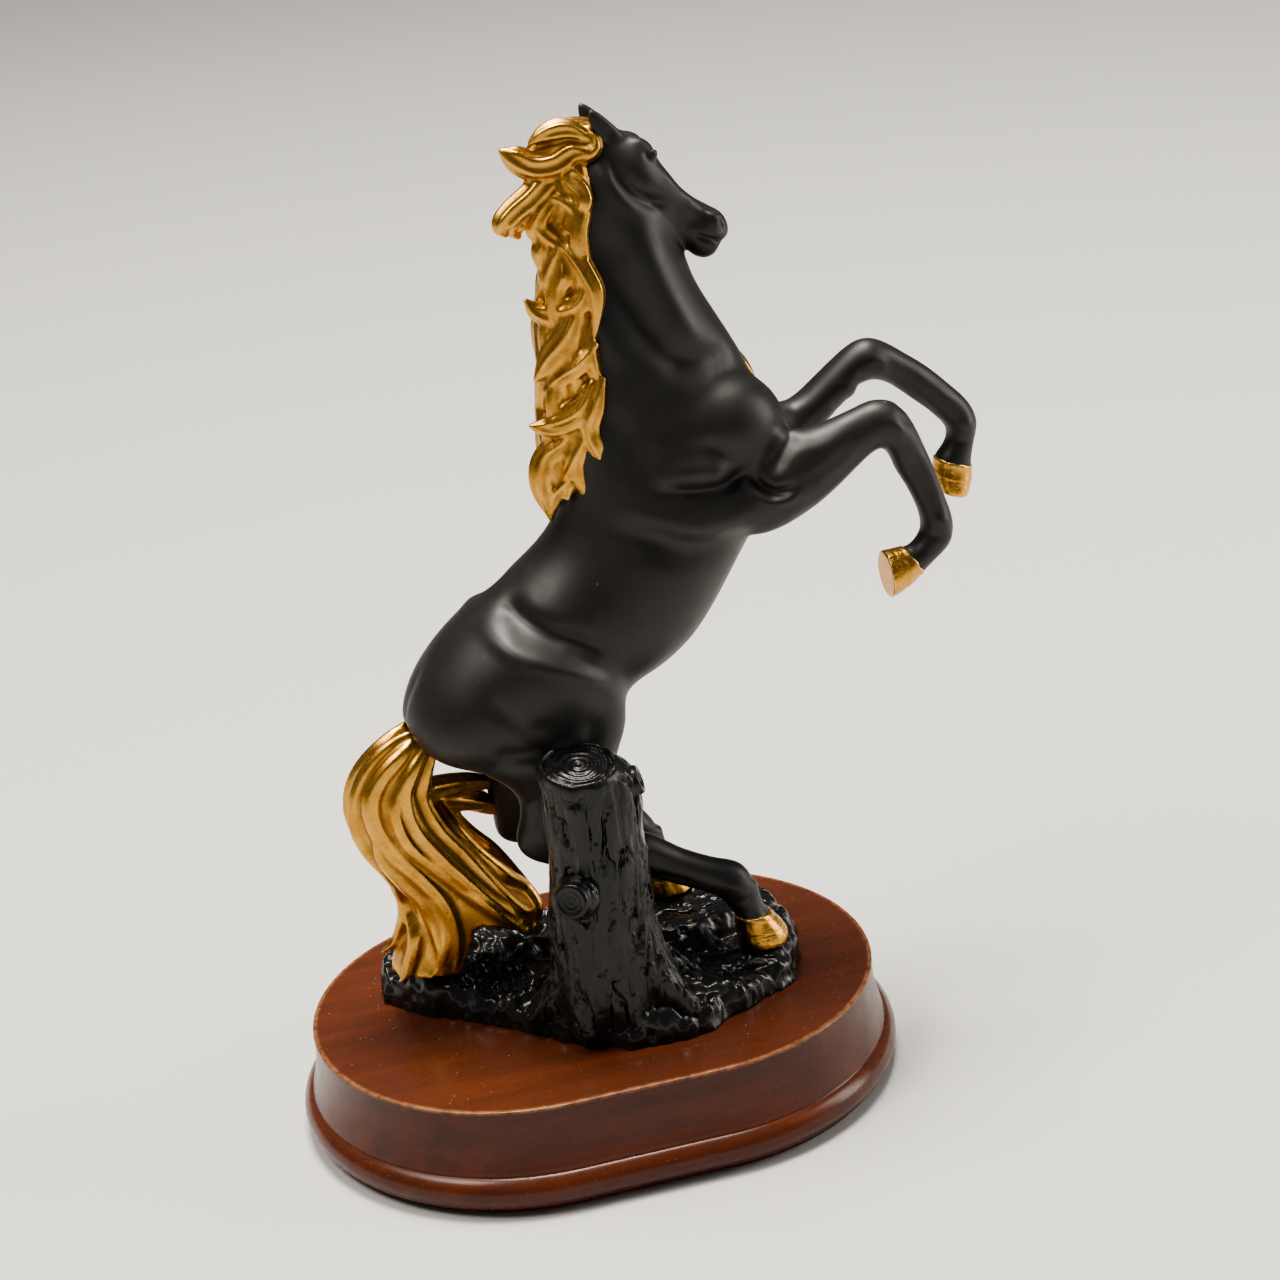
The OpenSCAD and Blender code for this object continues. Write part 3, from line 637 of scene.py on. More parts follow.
# Strokes of the modelling tool on both sides of the body: (x, z) path, width, height
MUSCLES = [
    # Neck: a long hollow between two muscles
    ([(21, 252), (23, 240), (27, 228), (32, 217), (38, 209)], 4.6, -2.6),
    ([(31, 249), (34, 236), (39, 223), (45, 211)], 5.0, 1.4),
    ([(13.5, 246), (16, 232), (20, 219), (26, 208)], 3.2, 1.0),
    # Shoulder: the chest stands out below a hollow at the foot of the neck
    ([(33, 212), (39, 209.6), (46, 208.4), (55, 207.4)], 4.2, -2.0),
    ([(13, 204), (19, 196), (23, 188), (26, 181)], 4.5, -0.9),
    # Upper arm: an oval muscle below a recess and over a crease
    ([(29, 182.8), (36, 183), (42, 182), (46, 180.2)], 3.2, 1.9),
    ([(38, 188.6), (43, 188), (47.6, 185.6), (50.4, 182)], 2.5, -0.8),
    ([(26, 180), (32, 178), (38, 176.8), (44.5, 176.8), (49.4, 178.6), (51, 181.6)], 2.1, -1.8),
    # Elbow: one long fold over the barrel
    ([(18, 174), (27, 171.4), (36, 167.6), (45, 167.4), (52, 167)], 3.4, 1.0),
    ([(14, 169), (24, 166.4), (34, 161.8), (45, 161)], 4.8, -1.6),
    # Root of the foreleg
    ([(66.5, 186), (63.4, 185.4), (60.4, 182.4), (57.4, 178.4)], 1.7, -1.5),
    ([(53.6, 180), (54.4, 176.4), (57.2, 174), (60.6, 174.2), (63.4, 176)], 1.3, -1.6),
    ([(52.2, 176), (55.6, 171.8), (60.5, 171.4), (65, 174.4)], 1.3, 0.8),
    # Flank: a deep hollow above the haunch, with one fold of skin
    ([(-13, 154), (-11, 148.4), (-5.4, 144.4), (2.5, 140.6), (11, 135.4)], 3.7, -2.5),
    ([(-4, 141.6), (3, 138.8), (9.6, 134.4)], 1.6, 0.7),
    ([(-20, 148.4), (-18.4, 145), (-13.4, 141.2), (-5.8, 138), (2.4, 133.6), (10, 127.4),
      (13.4, 121.6)], 2.7, 1.5),
    ([(-21, 141), (-14, 136.8), (-6, 133), (2, 128), (9, 121.6)], 5.8, 1.4),
    # Thigh
    ([(-24, 131.6), (-19, 126.2), (-13, 121.6), (-6, 119.4)], 2.8, -1.0),
    ([(-23, 116.6), (-16.5, 113.4), (-8, 112.4)], 2.2, -0.8),
    ([(8, 122), (0, 112), (-6, 103)], 2.4, -0.6),
]

# The same on the cheeks and the muzzle
FACE = [
    # Jowl: a raised disc with a groove round its back and foot
    ([(33, 262), (34, 257.6), (36.4, 255)], 3.8, 1.0),
    ([(26.6, 265.4), (27.4, 261.4), (29, 257.2), (31.7, 253.4), (35.4, 250.8), (39, 249.8),
      (42, 250.4)], 1.8, -1.5),
    ([(24.4, 262), (25.4, 257), (28.2, 252.2), (32.5, 248.6)], 2.2, 0.6),
    # Bony ridge from below the eye to the muzzle, and the hollow below it
    ([(38.6, 259.4), (42.4, 254.6), (47, 249.8), (50.6, 247)], 1.2, 0.5),
    ([(41, 249), (45, 245), (49, 241.6)], 2.2, -1.0),
    # Mouth
    ([(56, 236.8), (53, 237.4), (49.8, 238.6), (47.4, 240.2)], 0.7, -1.1),
]

# Features of each side of the head, in the order they are modelled: a ball is (x, y, z), radii,
# blend and -1 where it is taken away, and a stroke is its path, width and height
FEATURES = [
    # Brow, eye socket, eyeball, upper lid and lower lid
    ([(33.4, 6.6, 266.6), (36.6, 7, 266), (38.6, 6.4, 263.8)], 1.6, 0.35),
    ((38.0, 8.5, 262.3), (2.2, 1.5, 1.3), 0.9, -1),
    ((37.6, 6.9, 262.2), (1.9, 1.5, 1.2), 0.4),
    ([(35.6, 7.6, 263.2), (37.6, 7.9, 264), (39.6, 7, 262.8)], 0.45, 0.45),
    ([(35.4, 7.6, 262.2), (37.6, 8, 260.9), (39.8, 7.2, 261.8)], 0.45, 0.35),
    # Nostril: a dark hollow behind a raised rim
    ((53.2, 3.9, 242), (2.3, 1.9, 2.8), 1.2),
    ((55.2, 4.9, 241.2), (1.3, 1.6, 1.9), 0.5, -1),
    ([(50.6, 4.6, 246.2), (52.8, 5.2, 242.8), (53.6, 5, 238.8)], 0.8, 0.6),
    # The ear's hollow
    ([(28.6, 6.2, 267.6), (26.8, 6.8, 270.2), (24.8, 6.8, 273)], 0.9, -0.6),
]

# Strokes on the legs: knees, cannons, tendons and fetlocks
LEG_STROKES = [
    ([(64, 176), (73, 179), (82, 184)], 1.6, -0.4),
    ([(60, 186.5), (70, 184), (80, 187)], 1.6, 0.3),
    ([(88.5, 188.5), (92.5, 185.5), (94, 181.5)], 1.6, 0.6),
    ([(86.5, 184), (88.5, 180.5)], 0.9, -0.45),
    ([(93.8, 187.8), (97.2, 184.5)], 0.9, -0.4),
    ([(95.4, 177), (98.5, 170), (101.5, 162.5)], 0.75, -0.55),
    ([(99.5, 178), (102.2, 170), (105, 162)], 0.8, 0.25),
    ([(101, 158), (105.5, 156.5)], 1.5, 0.5),
    ([(99.5, 153.5), (105.5, 152.4)], 0.8, -0.4),
    ([(68, 174), (77, 177), (86, 184)], 1.6, -0.4),
    ([(97, 194.5), (101, 192.5), (102.5, 188.5)], 1.5, 0.6),
    ([(94.5, 191), (97.5, 188)], 0.9, -0.45),
    ([(107.5, 184.6), (113.5, 178.5), (119.5, 172.5)], 0.75, -0.55),
    ([(110.5, 188), (117, 182), (123.5, 175)], 0.8, 0.25),
    ([(122.5, 171), (127.5, 169.5)], 1.5, 0.5),
    ([(121.5, 165.5), (127.5, 165)], 0.8, -0.4),
    ([(-2, 107), (-8, 98), (-13, 90)], 1.8, -0.6),
    ([(-12, 101), (-16, 92), (-17.5, 86)], 1.2, -0.4),
    ([(-14, 86), (-9, 82.5), (-4, 79.5)], 1.6, 0.5),
    ([(-6, 75.4), (4, 72.3), (14, 69), (24, 65.3), (32, 61.4)], 0.8, -0.6),
    ([(2, 79.6), (14, 76.5), (26, 70)], 0.9, 0.25),
    ([(36.5, 61.5), (41.5, 59.2)], 1.7, 0.5),
    ([(38, 54.8), (45, 56.2)], 0.9, -0.4),
    ([(-4, 71.5), (6, 68.6), (14, 65)], 0.8, -0.4),
]


def horse_clay(voxel):
    """The horse's castings as one body of clay, and each CAD node's own level set."""
    clay = Clay(*span(SOFTNESS, 6.0), voxel)
    sets = {name: level_set(*mesh_arrays(name), voxel) for name in [*SOFTNESS, *HOOVES]}
    soup = level_set(*joined([mesh_arrays(name) for name in [*sets, "dowels"]]), voxel)
    clay.field = clay.read(soup)
    whole = clay.read(level_set(*largest_shell(*clay.cast()), voxel))
    total = np.zeros_like(whole)
    weights = np.zeros_like(whole)
    softness = SOFTNESS | dict.fromkeys(HOOVES, 0.5)
    for soft in sorted(set(softness.values())):
        near = np.full_like(whole, REACH)
        for name, value in softness.items():
            if value == soft:
                near = np.minimum(near, clay.read(sets[name]))
        weight = np.exp(-np.maximum(near, 0) / SOFTNESS_BLEND)
        total += weight * blurred(whole, soft / voxel)
        weights += weight
    clay.field = total / weights - SKIN_GROWTH
    return clay, sets


def model_horse(clay):
    """The masses and strokes that turn smooth castings into a horse."""
    for (x, y, z), radii, soft in MASSES:
        for side in (-1, 1):
            clay.ball((x, side * y, z), radii, soft)
    for path, width, height in MUSCLES:
        clay.stroke(path, width, height, BODY_MIDDLE)
    for path, width, height in LEG_STROKES:
        clay.stroke(path, width, height)
    clay.field = blurred(clay.field, 0.4 / clay.voxel)
    for path, width, height in FACE:
        clay.stroke(path, width, height, FACE_MIDDLE)
    for side in (-1, 1):
        for place, size, amount, *sign in FEATURES:
            if np.ndim(place) == 1:
                clay.ball((place[0], side * place[1], place[2]), size, amount, *sign)
            else:
                clay.stroke([(x, side * y, z) for x, y, z in place], size, amount)
    # Flesh over the rods that stand the hind legs on the ground
    rods = clay.read(level_set(*mesh_arrays("hoof_rods"), clay.voxel))
    clay.field = soft_min(clay.field, rods - 0.9, 2)
    # Bridge and tip of the nose, mouth, chin, the split of the chest and of the quarters
    bridge = [(37.5, 0, 265), (42.4, 0, 260), (47.5, 0, 254.8), (51.5, 0, 251), (55, 0, 247.4)]
    clay.stroke(bridge, 4.2, -2.1)
    clay.ball((54.2, 0, 240.6), (2.6, 3.6, 3.2), 1.2)
    clay.ball((58.0, 0, 234.4), (4.2, 9, 3.0), 0.9, -1)
    clay.ball((50.6, 0, 235.2), (3.0, 3.3, 2.4), 1.2)
    clay.stroke([(72, 0, 190), (67.5, 0, 179), (60, 0, 168)], 2.4, -2.0)
    clay.stroke([(-36, 0, 135), (-40, 0, 126), (-43, 0, 119)], 2.4, -0.5)


def horse_pieces(clay, sets, voxel):
    """One closed piece for each casting. Past its joint a piece dips under its neighbour, so
    that the joints don't show."""
    lap, dip = 2.4, 0.45
    for name in SOFTNESS:
        low, high = span([name], 5.0)
        block = clay.block(low, high)
        part = Clay([axis[b][0] for axis, b in zip(clay.axes, block)], high, voxel)
        part.start = np.array([s + (b.start or 0) for s, b in zip(clay.start, block)])
        part.field = clay.field[block]
        others = np.full_like(part.field, REACH)
        for other in sets:
            if other != name:
                others = np.minimum(others, part.read(sets[other]))
        past = part.read(sets[name]) - others
        under = np.clip(past / lap, 0, 1)
        field = np.maximum(part.field + dip * under**2, past - lap)
        points, faces = largest_shell(*part.cast(field))
        make_piece(name + "_casting", points, faces, HORSE, [name], 2, 0.8)


# ------------------------------------------------------------------ hair

HAIR_ROOT = 1.7  # how deep hair goes into the horse, in millimetres

# Where the crest of the neck runs: height, and x at that height
CREST_Z = [168, 186, 198, 211, 224, 237, 249, 260, 268, 272]
CREST_X = [5, 6, 6.5, 7.5, 9, 11, 13.5, 17.5, 23, 27]

# Locks on each side of the crest: (x, z) path, half breadth, strands
MANE_LOCKS = [
    ([(20, 262.6), (13.6, 262), (8.4, 260.2), (4.6, 261)], 3.6, 3),
    ([(14, 256), (9.6, 252.4), (6.4, 247.4), (6.8, 243)], 3.0, 3),
    ([(14, 247), (11, 240), (8.4, 233.8), (8.0, 229.6)], 3.0, 3),
    ([(14.8, 222), (11.6, 214), (9.8, 206.6), (9.6, 200.4)], 3.0, 3),
    ([(23.4, 267.6), (17.6, 270.8), (11.8, 270.7), (6.8, 268.4)], 2.9, 3),
    ([(22.6, 264.4), (17.8, 265), (12.6, 263), (7.2, 263.2), (3, 266), (-0.4, 268.4)], 4.1, 3),
    ([(18.6, 269.6), (22.8, 269.4), (23.8, 266), (21, 263.6), (17.8, 265.2), (19.4, 267.2)], 2.1, 2),
    ([(14.5, 265), (16.4, 259.6), (18.6, 256), (18.6, 252.4), (16.6, 251)], 3.0, 3),
    ([(12.8, 258.4), (15.8, 257), (17.6, 254.2), (16, 252.2)], 2.1, 2),
    ([(15.5, 262), (10.6, 258.6), (6.2, 255), (1.4, 251.9), (-1.3, 249), (-0.6, 245.9)], 3.9, 3),
    ([(7.4, 255.3), (12.3, 254.7), (16.3, 251), (14.6, 246.6), (11.2, 247.9)], 2.7, 2),
    ([(8.0, 253.4), (8.2, 247.4), (11.9, 243.4), (16, 241.4)], 2.9, 3),
    ([(9.4, 247.6), (14.1, 242.4), (17.2, 235.9), (18.8, 229.6), (17.6, 219.4)], 3.1, 3),
    ([(9.6, 248.4), (7.4, 241.6), (7.2, 235.0)], 2.8, 3),
    ([(12.7, 241.6), (12.3, 234.4), (9.2, 228.7)], 3.0, 3),
    ([(18, 235), (14.8, 227.5), (9.6, 224.9), (5.0, 226.1), (1.8, 229.9)], 3.3, 3),
    ([(15, 229), (11.2, 219.4), (6.4, 213), (1.8, 207.9)], 4.0, 3),
    ([(17.6, 218.0), (13, 212.2), (8.2, 208.2), (3.6, 204.7)], 3.1, 3),
    ([(17.2, 224.1), (16.1, 216.2), (16.6, 210.1), (18.6, 202.9)], 2.3, 2),
    ([(18.2, 209.2), (15.6, 201.4), (14.0, 195.7), (15.0, 190.1), (17.4, 183.4)], 3.0, 3),
    ([(15.8, 208.2), (12, 200.2), (5.3, 196.0), (-1.0, 196.6)], 4.0, 3),
    ([(13.4, 200.2), (8, 191.6), (3.1, 187.3), (1.2, 182.6), (1.6, 177.0), (2.6, 169.5)], 3.9, 3),
    ([(13.8, 196.3), (10.6, 188.9), (8.4, 184.0), (5.0, 179.7)], 2.9, 3),
    ([(13.4, 192.7), (15, 183.8), (16.5, 176.4)], 1.8, 2),
    ([(13.4, 189.3), (8.6, 181.7), (4.2, 176.3), (2.3, 169.8)], 2.8, 3),
]

# Locks that fall on the left of the neck: (x, z) path, half breadth
FALL_LOCKS = [
    ([(23, 265), (28, 259), (29, 252), (33, 246), (38, 242), (39.6, 235.5)], 2.4),
    ([(20, 260), (24, 252), (30, 247), (33, 240), (39, 234), (43, 229), (43.5, 224.5)], 3.0),
    ([(17, 252), (22, 244), (29, 240), (32, 232), (38, 227), (45, 222), (46.8, 217)], 3.1),
    ([(15, 243), (20, 235), (27, 231), (31, 223), (38, 219), (44, 213), (47.5, 208)], 3.1),
    ([(14, 235), (19, 226), (27, 222), (33, 214), (42, 211), (49, 206.5), (56, 202.5)], 3.1),
    ([(12, 225), (18, 217), (27, 213), (34, 206), (43, 203.4), (51, 200.6), (58, 198)], 3.1),
    ([(12, 217), (17, 208), (26, 204), (32, 197), (40, 194), (46, 188), (50, 181.5)], 3.0),
    ([(11, 208), (16, 199), (24, 195), (29, 188), (36, 184), (40, 177.5)], 2.8),
    ([(10, 199), (15, 190), (22, 187), (26, 180), (32, 177), (34.5, 171.5)], 2.5),
    ([(26, 262), (31, 256), (33, 250), (37, 247), (40, 242)], 1.9),
]

# One more that stands off the left of the chest: x, least y, z, half breadth, half thickness
FAR_LOCK = [
    (45, 0, 208.4, 2.2, 2.4), (51, 0, 206, 2.8, 2.8), (56, 15.6, 203.4, 2.8, 2.8),
    (60.6, 16, 200.2, 2.5, 2.4), (64, 15.6, 195.8, 1.8, 1.8), (66.4, 15, 191.4, 0.4, 0.6),
]

# The tail's strands, on both faces of it: (x, z) path, half breadth, how far they stand out
TAIL_STRANDS = [
    ([(-40, 117.5), (-47.5, 114.6), (-54.4, 108.5), (-58.4, 101), (-59.4, 92.7), (-57, 84.4),
      (-52.6, 76.5), (-49.8, 69), (-49.6, 61.5), (-52.4, 53.4), (-57.9, 49.6)], 2.6, 0.9),
    ([(-39, 116), (-45.6, 112.4), (-51.8, 107), (-55.2, 100.4), (-54.6, 92.7), (-50.6, 83.9),
      (-45.2, 76), (-40.6, 68.4), (-38.4, 61), (-38.0, 53.4), (-39.6, 46.6),
      (-41.6, 42.4)], 3.0, 1.5),
    ([(-46, 106), (-49.4, 98), (-47.6, 88), (-41.6, 79), (-35.6, 71.6), (-30.2, 65.2),
      (-24.6, 59.6), (-18.6, 55)], 2.1, 0.7),
    ([(-38, 113.5), (-42.8, 108.3), (-46.2, 101.5), (-45, 91.5), (-39.4, 81.4), (-33.6, 73.2),
      (-28.2, 66), (-22.8, 59.4), (-17.6, 53)], 2.7, 1.3),
    ([(-36.6, 110.5), (-40, 104), (-41.2, 96.8), (-37.9, 87.8), (-32.3, 79.1), (-27.4, 71),
      (-22.6, 63.6), (-17.6, 57.4), (-13.8, 56.4)], 2.5, 1.2),
    ([(-38.4, 99), (-37.0, 92.7), (-33.0, 85.2), (-27.4, 76.2), (-20.8, 68.2), (-15.2, 61),
      (-12.9, 55.2), (-14.6, 50.6), (-18.6, 50.4), (-19.8, 53.6), (-17.4, 55.6)], 2.3, 1.4),
    ([(-54.4, 96), (-54.4, 85), (-49.6, 75), (-45.0, 67.6), (-42.6, 60.2), (-41.8, 51.1),
      (-43.1, 40.2)], 2.6, 1.5),
    ([(-51.6, 84), (-50.7, 72), (-48.4, 63.5), (-48.3, 56), (-51.4, 46.0), (-55.6, 40.9)], 2.4, 1.4),
    ([(-46.5, 80), (-42.6, 71), (-40.6, 63.8), (-39.8, 57), (-42, 50.4), (-46.6, 42.6)], 2.3, 1.5),
    ([(-36, 74), (-30.5, 66.4), (-25.4, 60), (-21.4, 54.4), (-21.6, 51)], 1.9, 1.0),
]


# Hollows between the tail's tips: centre, radii
TAIL_HOLLOWS = [
    ((-45, -11, 47.5), (2.9, 8, 8)),
    ((-52, -10, 46.5), (1.9, 7, 6.5)),
    ((-39.6, -11, 46), (1.7, 7, 5)),
    ((-45.5, 13, 45), (2.2, 6, 7)),
    ((-22.5, -14, 57.5), (1.5, 5, 5)),
]


def tapered(path, breadth, thickness, depth, tip=0.14, root=0.7):
    """Rows for a lock that swells past its root and ends in a fine tip; depth gives y."""
    rows = []
    for k, (x, z) in enumerate(path):
        place = k / (len(path) - 1)
        full = min(1, 0.7 + 1.2 * place) * (1 - 0.45 * place**4)
        full = {0: root, 1: tip}.get(place, full)
        rows.append((x, depth(x, z), z, breadth * full, thickness * full))
    return rows


def crest_depth(side):
    """How far out to the side a lock of the mane lies, by its distance from the crest."""

    def depth(x, z):
        past = x - np.interp(z, CREST_Z, CREST_X)
        return side * (3.2 + 9.2 * float(smooth_step(-4, 12, past)))

    return depth


def skin_depth(names, side, inset, start):
    """y of the CAD castings' skin seen from one side, drawn in by inset; where there is no skin
    it keeps the last depth."""
    points, faces = joined([mesh_arrays(name) for name in names])
    tree = BVHTree.FromPolygons(points.tolist(), faces.tolist())
    last = [start]

    def depth(x, z):
        hit = tree.ray_cast(Vector((x, side * 90, z)), Vector((0, -side, 0)))[0]
        if hit is not None:
            last[0] = hit.y - side * inset
        return last[0]

    return depth


def hair_piece(name, locks, replaced, under, voxel, core=None, carve=None):
    """Locks fused as a casting is. Hair deep inside the horse is left out."""
    points, faces = joined(locks)
    clay = Clay(points.min(0) - 3, points.max(0) + 3, voxel, NEAR)
    clay.field = clay.read(level_set(points, faces, voxel, NEAR))
    if core is not None:
        clay.field = soft_min(clay.field, core(clay), 0.8)
    clay.field = clay.read(level_set(*largest_shell(*clay.cast()), voxel, NEAR))
    # Pits narrower than twice the reach are filled to a little below the locks
    reach, below = 1.7, 0.9
    swollen = clay.read(level_set(*clay.cast(clay.field - reach), voxel, reach + 2 * below))
    clay.field = soft_min(clay.field, swollen + (reach + below), 0.6)
    clay.field = blurred(clay.field, 0.22 / voxel)
    if carve is not None:
        carve(clay)
    for inner in under:
        inside = clay.read(level_set(*mesh_arrays(inner), voxel, NEAR))
        clay.field = np.maximum(clay.field, -inside - HAIR_ROOT)
    points, faces = largest_shell(*clay.cast())
    make_piece(name, points, faces, GOLD, [replaced], 1, 0.5)


def add_mane(voxel):
    locks = []
    heights = np.array([268, 262, 254, 246, 238, 229, 220, 211, 202, 193, 184, 176])
    crest = np.interp(heights, CREST_Z, CREST_X)
    for side in (-1, 1):
        depth = crest_depth(side)
        shift = (0, 0) if side < 0 else (4.4, -2.6)
        for k, (path, breadth, strands) in enumerate(MANE_LOCKS):
            lift = side * (1.2 if k % 3 else 0.2)
            moved = [(x + shift[0], z + shift[1]) for x, z in path]
            rows = tapered(moved, breadth, breadth * 0.92, depth, root=0.25)
            rows = [(x, y + lift, z, *size) for x, y, z, *size in rows]
            locks.append(tress(rows, strands, 0.32))
        # The under-layer that shows between the locks; it draws in towards the poll
        low = smooth_step(266, 248, heights)
        for across, breadth in ((-0.6, 2.6), (1.8, 3.8), (5.2, 2.8)):
            rows = []
            for k, (x, z) in enumerate(zip(crest + across * low - 1.5 * (1 - low), heights)):
                sway = 1.3 * math.sin(k * 1.9 + across)
                size = breadth if 0 < k < len(heights) - 1 else breadth * 0.4
                rows.append((x + sway, depth(x, z) - side * 0.1, z, size, 2.5))
            locks.append(tress(rows, 5, 0.2, 1.2))
    # Locks that cross the back of the crest by turns, and a tuft between the ears
    for k in range(7):
        side = 1 if k % 2 else -1
        rows = []
        for step, size in enumerate((1.2, 2.7, 3.0, 2.5, 0.4)):
            z = 263 - 11.2 * k - 6.4 * step
            x = np.interp(z, CREST_Z, CREST_X) - 1.4 - 0.3 * size
            rows.append((x, side * (4.2 - 2.0 * step), z, size, 0.75 * size))
        locks.append(tress(rows, 3, 0.32, 0.1, lean=(1, 0, 0)))
    tuft = [
        (28, 0, 268.2, 1.8, 1.4), (23, 0.7, 270.2, 3.8, 2.3), (17, -0.5, 270.4, 4.0, 2.4),
        (11, 0.6, 267.6, 3.2, 2.0), (6, 0, 264.2, 0.6, 0.5),
    ]
    locks.append(tress(tuft, 4, 0.3, 0.1, lean=(0, 0, 1)))
    rows = [(x + 1.5, 0, z, 3.6, 5.0) for x, z in zip(crest, heights)]
    rows[-1] = (crest[-1] + 1.5, 0, 174, 1.2, 2.0)
    locks.append(tress(rows, 5, 0.16, 1.2))
    hair_piece("mane_locks", locks, "mane", ["neck", "head", "torso"], voxel)


def add_mane_fall(voxel):
    locks = []
    for path, breadth in FALL_LOCKS:
        depth = skin_depth(["neck", "head", "torso"], 1, 0.2, 8)
        locks.append(tress(tapered(path, breadth, 2.5, depth), 3, 0.24))
        finer = [(x - 2.4, z - 3.4) for x, z in path[:-1]]
        locks.append(tress(tapered(finer, breadth * 0.75, 2.1, depth), 3, 0.24))
    depth = skin_depth(["neck", "head", "torso"], 1, 0.2, 8)
    locks.append(tress([(x, max(y, depth(x, z)), z, b, t) for x, y, z, b, t in FAR_LOCK], 3, 0.24))
    hair_piece("mane_fall_locks", locks, "mane_fall", ["neck", "head", "torso"], voxel)


def add_tail(voxel):
    locks = []
    for side in (-1, 1):
        for path, breadth, proud in TAIL_STRANDS:
            depth = skin_depth(["tail"], side, breadth * 0.8 - proud, 2 + side * 4)
            strand = tapered(path, breadth, breadth * 0.8, depth, root=0.3)
            locks.append(tress(strand, 3, 0.17, 0.1))
    side_lock = [
        (-47, 5, 99, 3.0, 3.4), (-38, 10, 94.5, 4.0, 3.8), (-30.5, 13, 92.8, 3.8, 3.4),
        (-24.5, 14, 92.0, 3.0, 2.8), (-20.5, 14, 90.6, 2.0, 1.8), (-18.6, 14, 88.4, 0.5, 0.5),
    ]
    side_tip = [
        (-40, 9, 92, 3.0, 3.2), (-31, 13, 88, 3.2, 3),
        (-24, 15, 85, 2.4, 2.4), (-15.8, 15, 81.8, 0.4, 0.5),
    ]
    locks += [tress(side_lock, 3, 0.22), tress(side_tip, 3, 0.22)]

    def core(clay):
        solid = clay.read(level_set(*mesh_arrays("tail"), clay.voxel, NEAR))
        return blurred(solid, 1.1 / clay.voxel) + 0.55

    def carve(clay):
        """Cuts the lobes apart below, and hollows the middle one like a bell."""
        x, y, z = clay.coordinates()
        ragged = 0.6 * noise(x / 2.2, y / 2.2, z / 2.2, 71)
        under = 0.88 * (z - 57.2) + 0.47 * (x + 30) + ragged
        beside = 0.38 * (z - 57.2) - 0.925 * (x + 31.2) + ragged
        wedge = soft_max(under, beside, 3)
        clay.field = soft_max(clay.field, (-wedge).astype(np.float32), 1.2)
        for centre, radii in TAIL_HOLLOWS:
            clay.ball(centre, radii, 0.9, -1)
        hem = 43.4 + 0.9 * noise(x / 3, y / 3, 0, 72) - z
        clay.field = soft_max(clay.field, hem.astype(np.float32), 1)

    hair_piece("tail_locks", locks, "tail", ["torso"], voxel, core, carve)


# ------------------------------------------------------------------ hooves

def add_hoof(name, voxel):
    """A hoof with faint growth rings, an uneven upper edge, and a dished sole with a frog."""
    middle, *corners = HOOVES[name]
    crown_toe, crown_heel, sole_toe, sole_heel = (np.array(corner) for corner in corners)
    clay = Clay(*span([name], 3.0), voxel, NEAR)
    clay.field = blurred(clay.read(level_set(*mesh_arrays(name), voxel, NEAR)), 0.45 / voxel) - 0.2
    x, y, z = clay.coordinates()

    def beyond(toe, heel):
        """Distance past the plane through a toe and a heel, towards the ground."""
        across = (toe - heel) / np.linalg.norm(toe - heel)
        return (x - heel[0]) * across[1] - (z - heel[1]) * across[0]

    down, past = beyond(crown_toe, crown_heel), beyond(sole_toe, sole_heel)
    uneven = 0.45 * noise(x / 1.5, y / 1.5, z / 1.5, 21)
    share = down / np.maximum(down - past, 0.1)
    ring = 0.035 * np.sin((down + uneven) * 2 * np.pi / 0.9) * smooth_step(0.2, 0.4, share)
    band = -0.16 * np.exp(-(((down + uneven) - 1.0) ** 2) / 0.4)
    ledge = 0.12 * smooth_step(0.5, 0.56, share)
    pits = 0.05 * noise(x / 0.7, y / 0.7, z / 0.7, 22)
    flare = 0.9 * smooth_step(0.25, 1.0, share)
    field = clay.field + ring + band + ledge + pits - flare
    sole = sole_toe - sole_heel
    along = ((x - sole_heel[0]) * sole[0] + (z - sole_heel[1]) * sole[1]) / (sole**2).sum()
    inset = clay.field + 1.3
    frog = np.maximum(np.abs(y - middle) - 1.9 * (0.75 - along), inset + 0.4)
    dish = np.maximum(inset, -past - 0.8)
    dish = np.maximum(dish, -np.maximum(frog, -past - 0.5))
    field = soft_max(field, -dish.astype(np.float32), 0.4)
    field = soft_max(field, past.astype(np.float32), 0.4)
    clay.field = soft_max(field, (0.5 + uneven - down).astype(np.float32), 0.3).astype(np.float32)
    points, faces = largest_shell(*clay.cast())
    make_piece(name + "_gilt", points, faces, HOOF_GOLD, [name], 1, 0.3)


# ------------------------------------------------------------------ stump

# The trunk: height, its middle's x and y, and its radius
TRUNK_Z = [33, 60, 85, 100, 113]
TRUNK_X = [1.0, -0.4, 0.1, -1.6, -3.4]
TRUNK_Y = [-22.5, -25.4, -28.0, -29.6, -31.0]
TRUNK_RADIUS = [15.0, 13.8, 12.6, 11.8, 11.2]
# Its roots: where each starts and ends, and its radius at each end
STUMP_ROOTS = [
    ((6, -30, 56), (19, -37, 36.5), 6.8, 3.4),
    ((-5, -30, 52), (-10, -35.5, 36), 6, 2.8),
    ((-6, -24, 50), (-22, -22, 36), 6, 2.6),
    ((6, -22, 52), (25, -19, 37), 6, 2.8),
    ((1, -32, 48), (4, -37, 36), 5.5, 2.6),
]
# Slope of the sawn face, up towards the back
FACE_SLOPE = math.tan(math.radians(11))


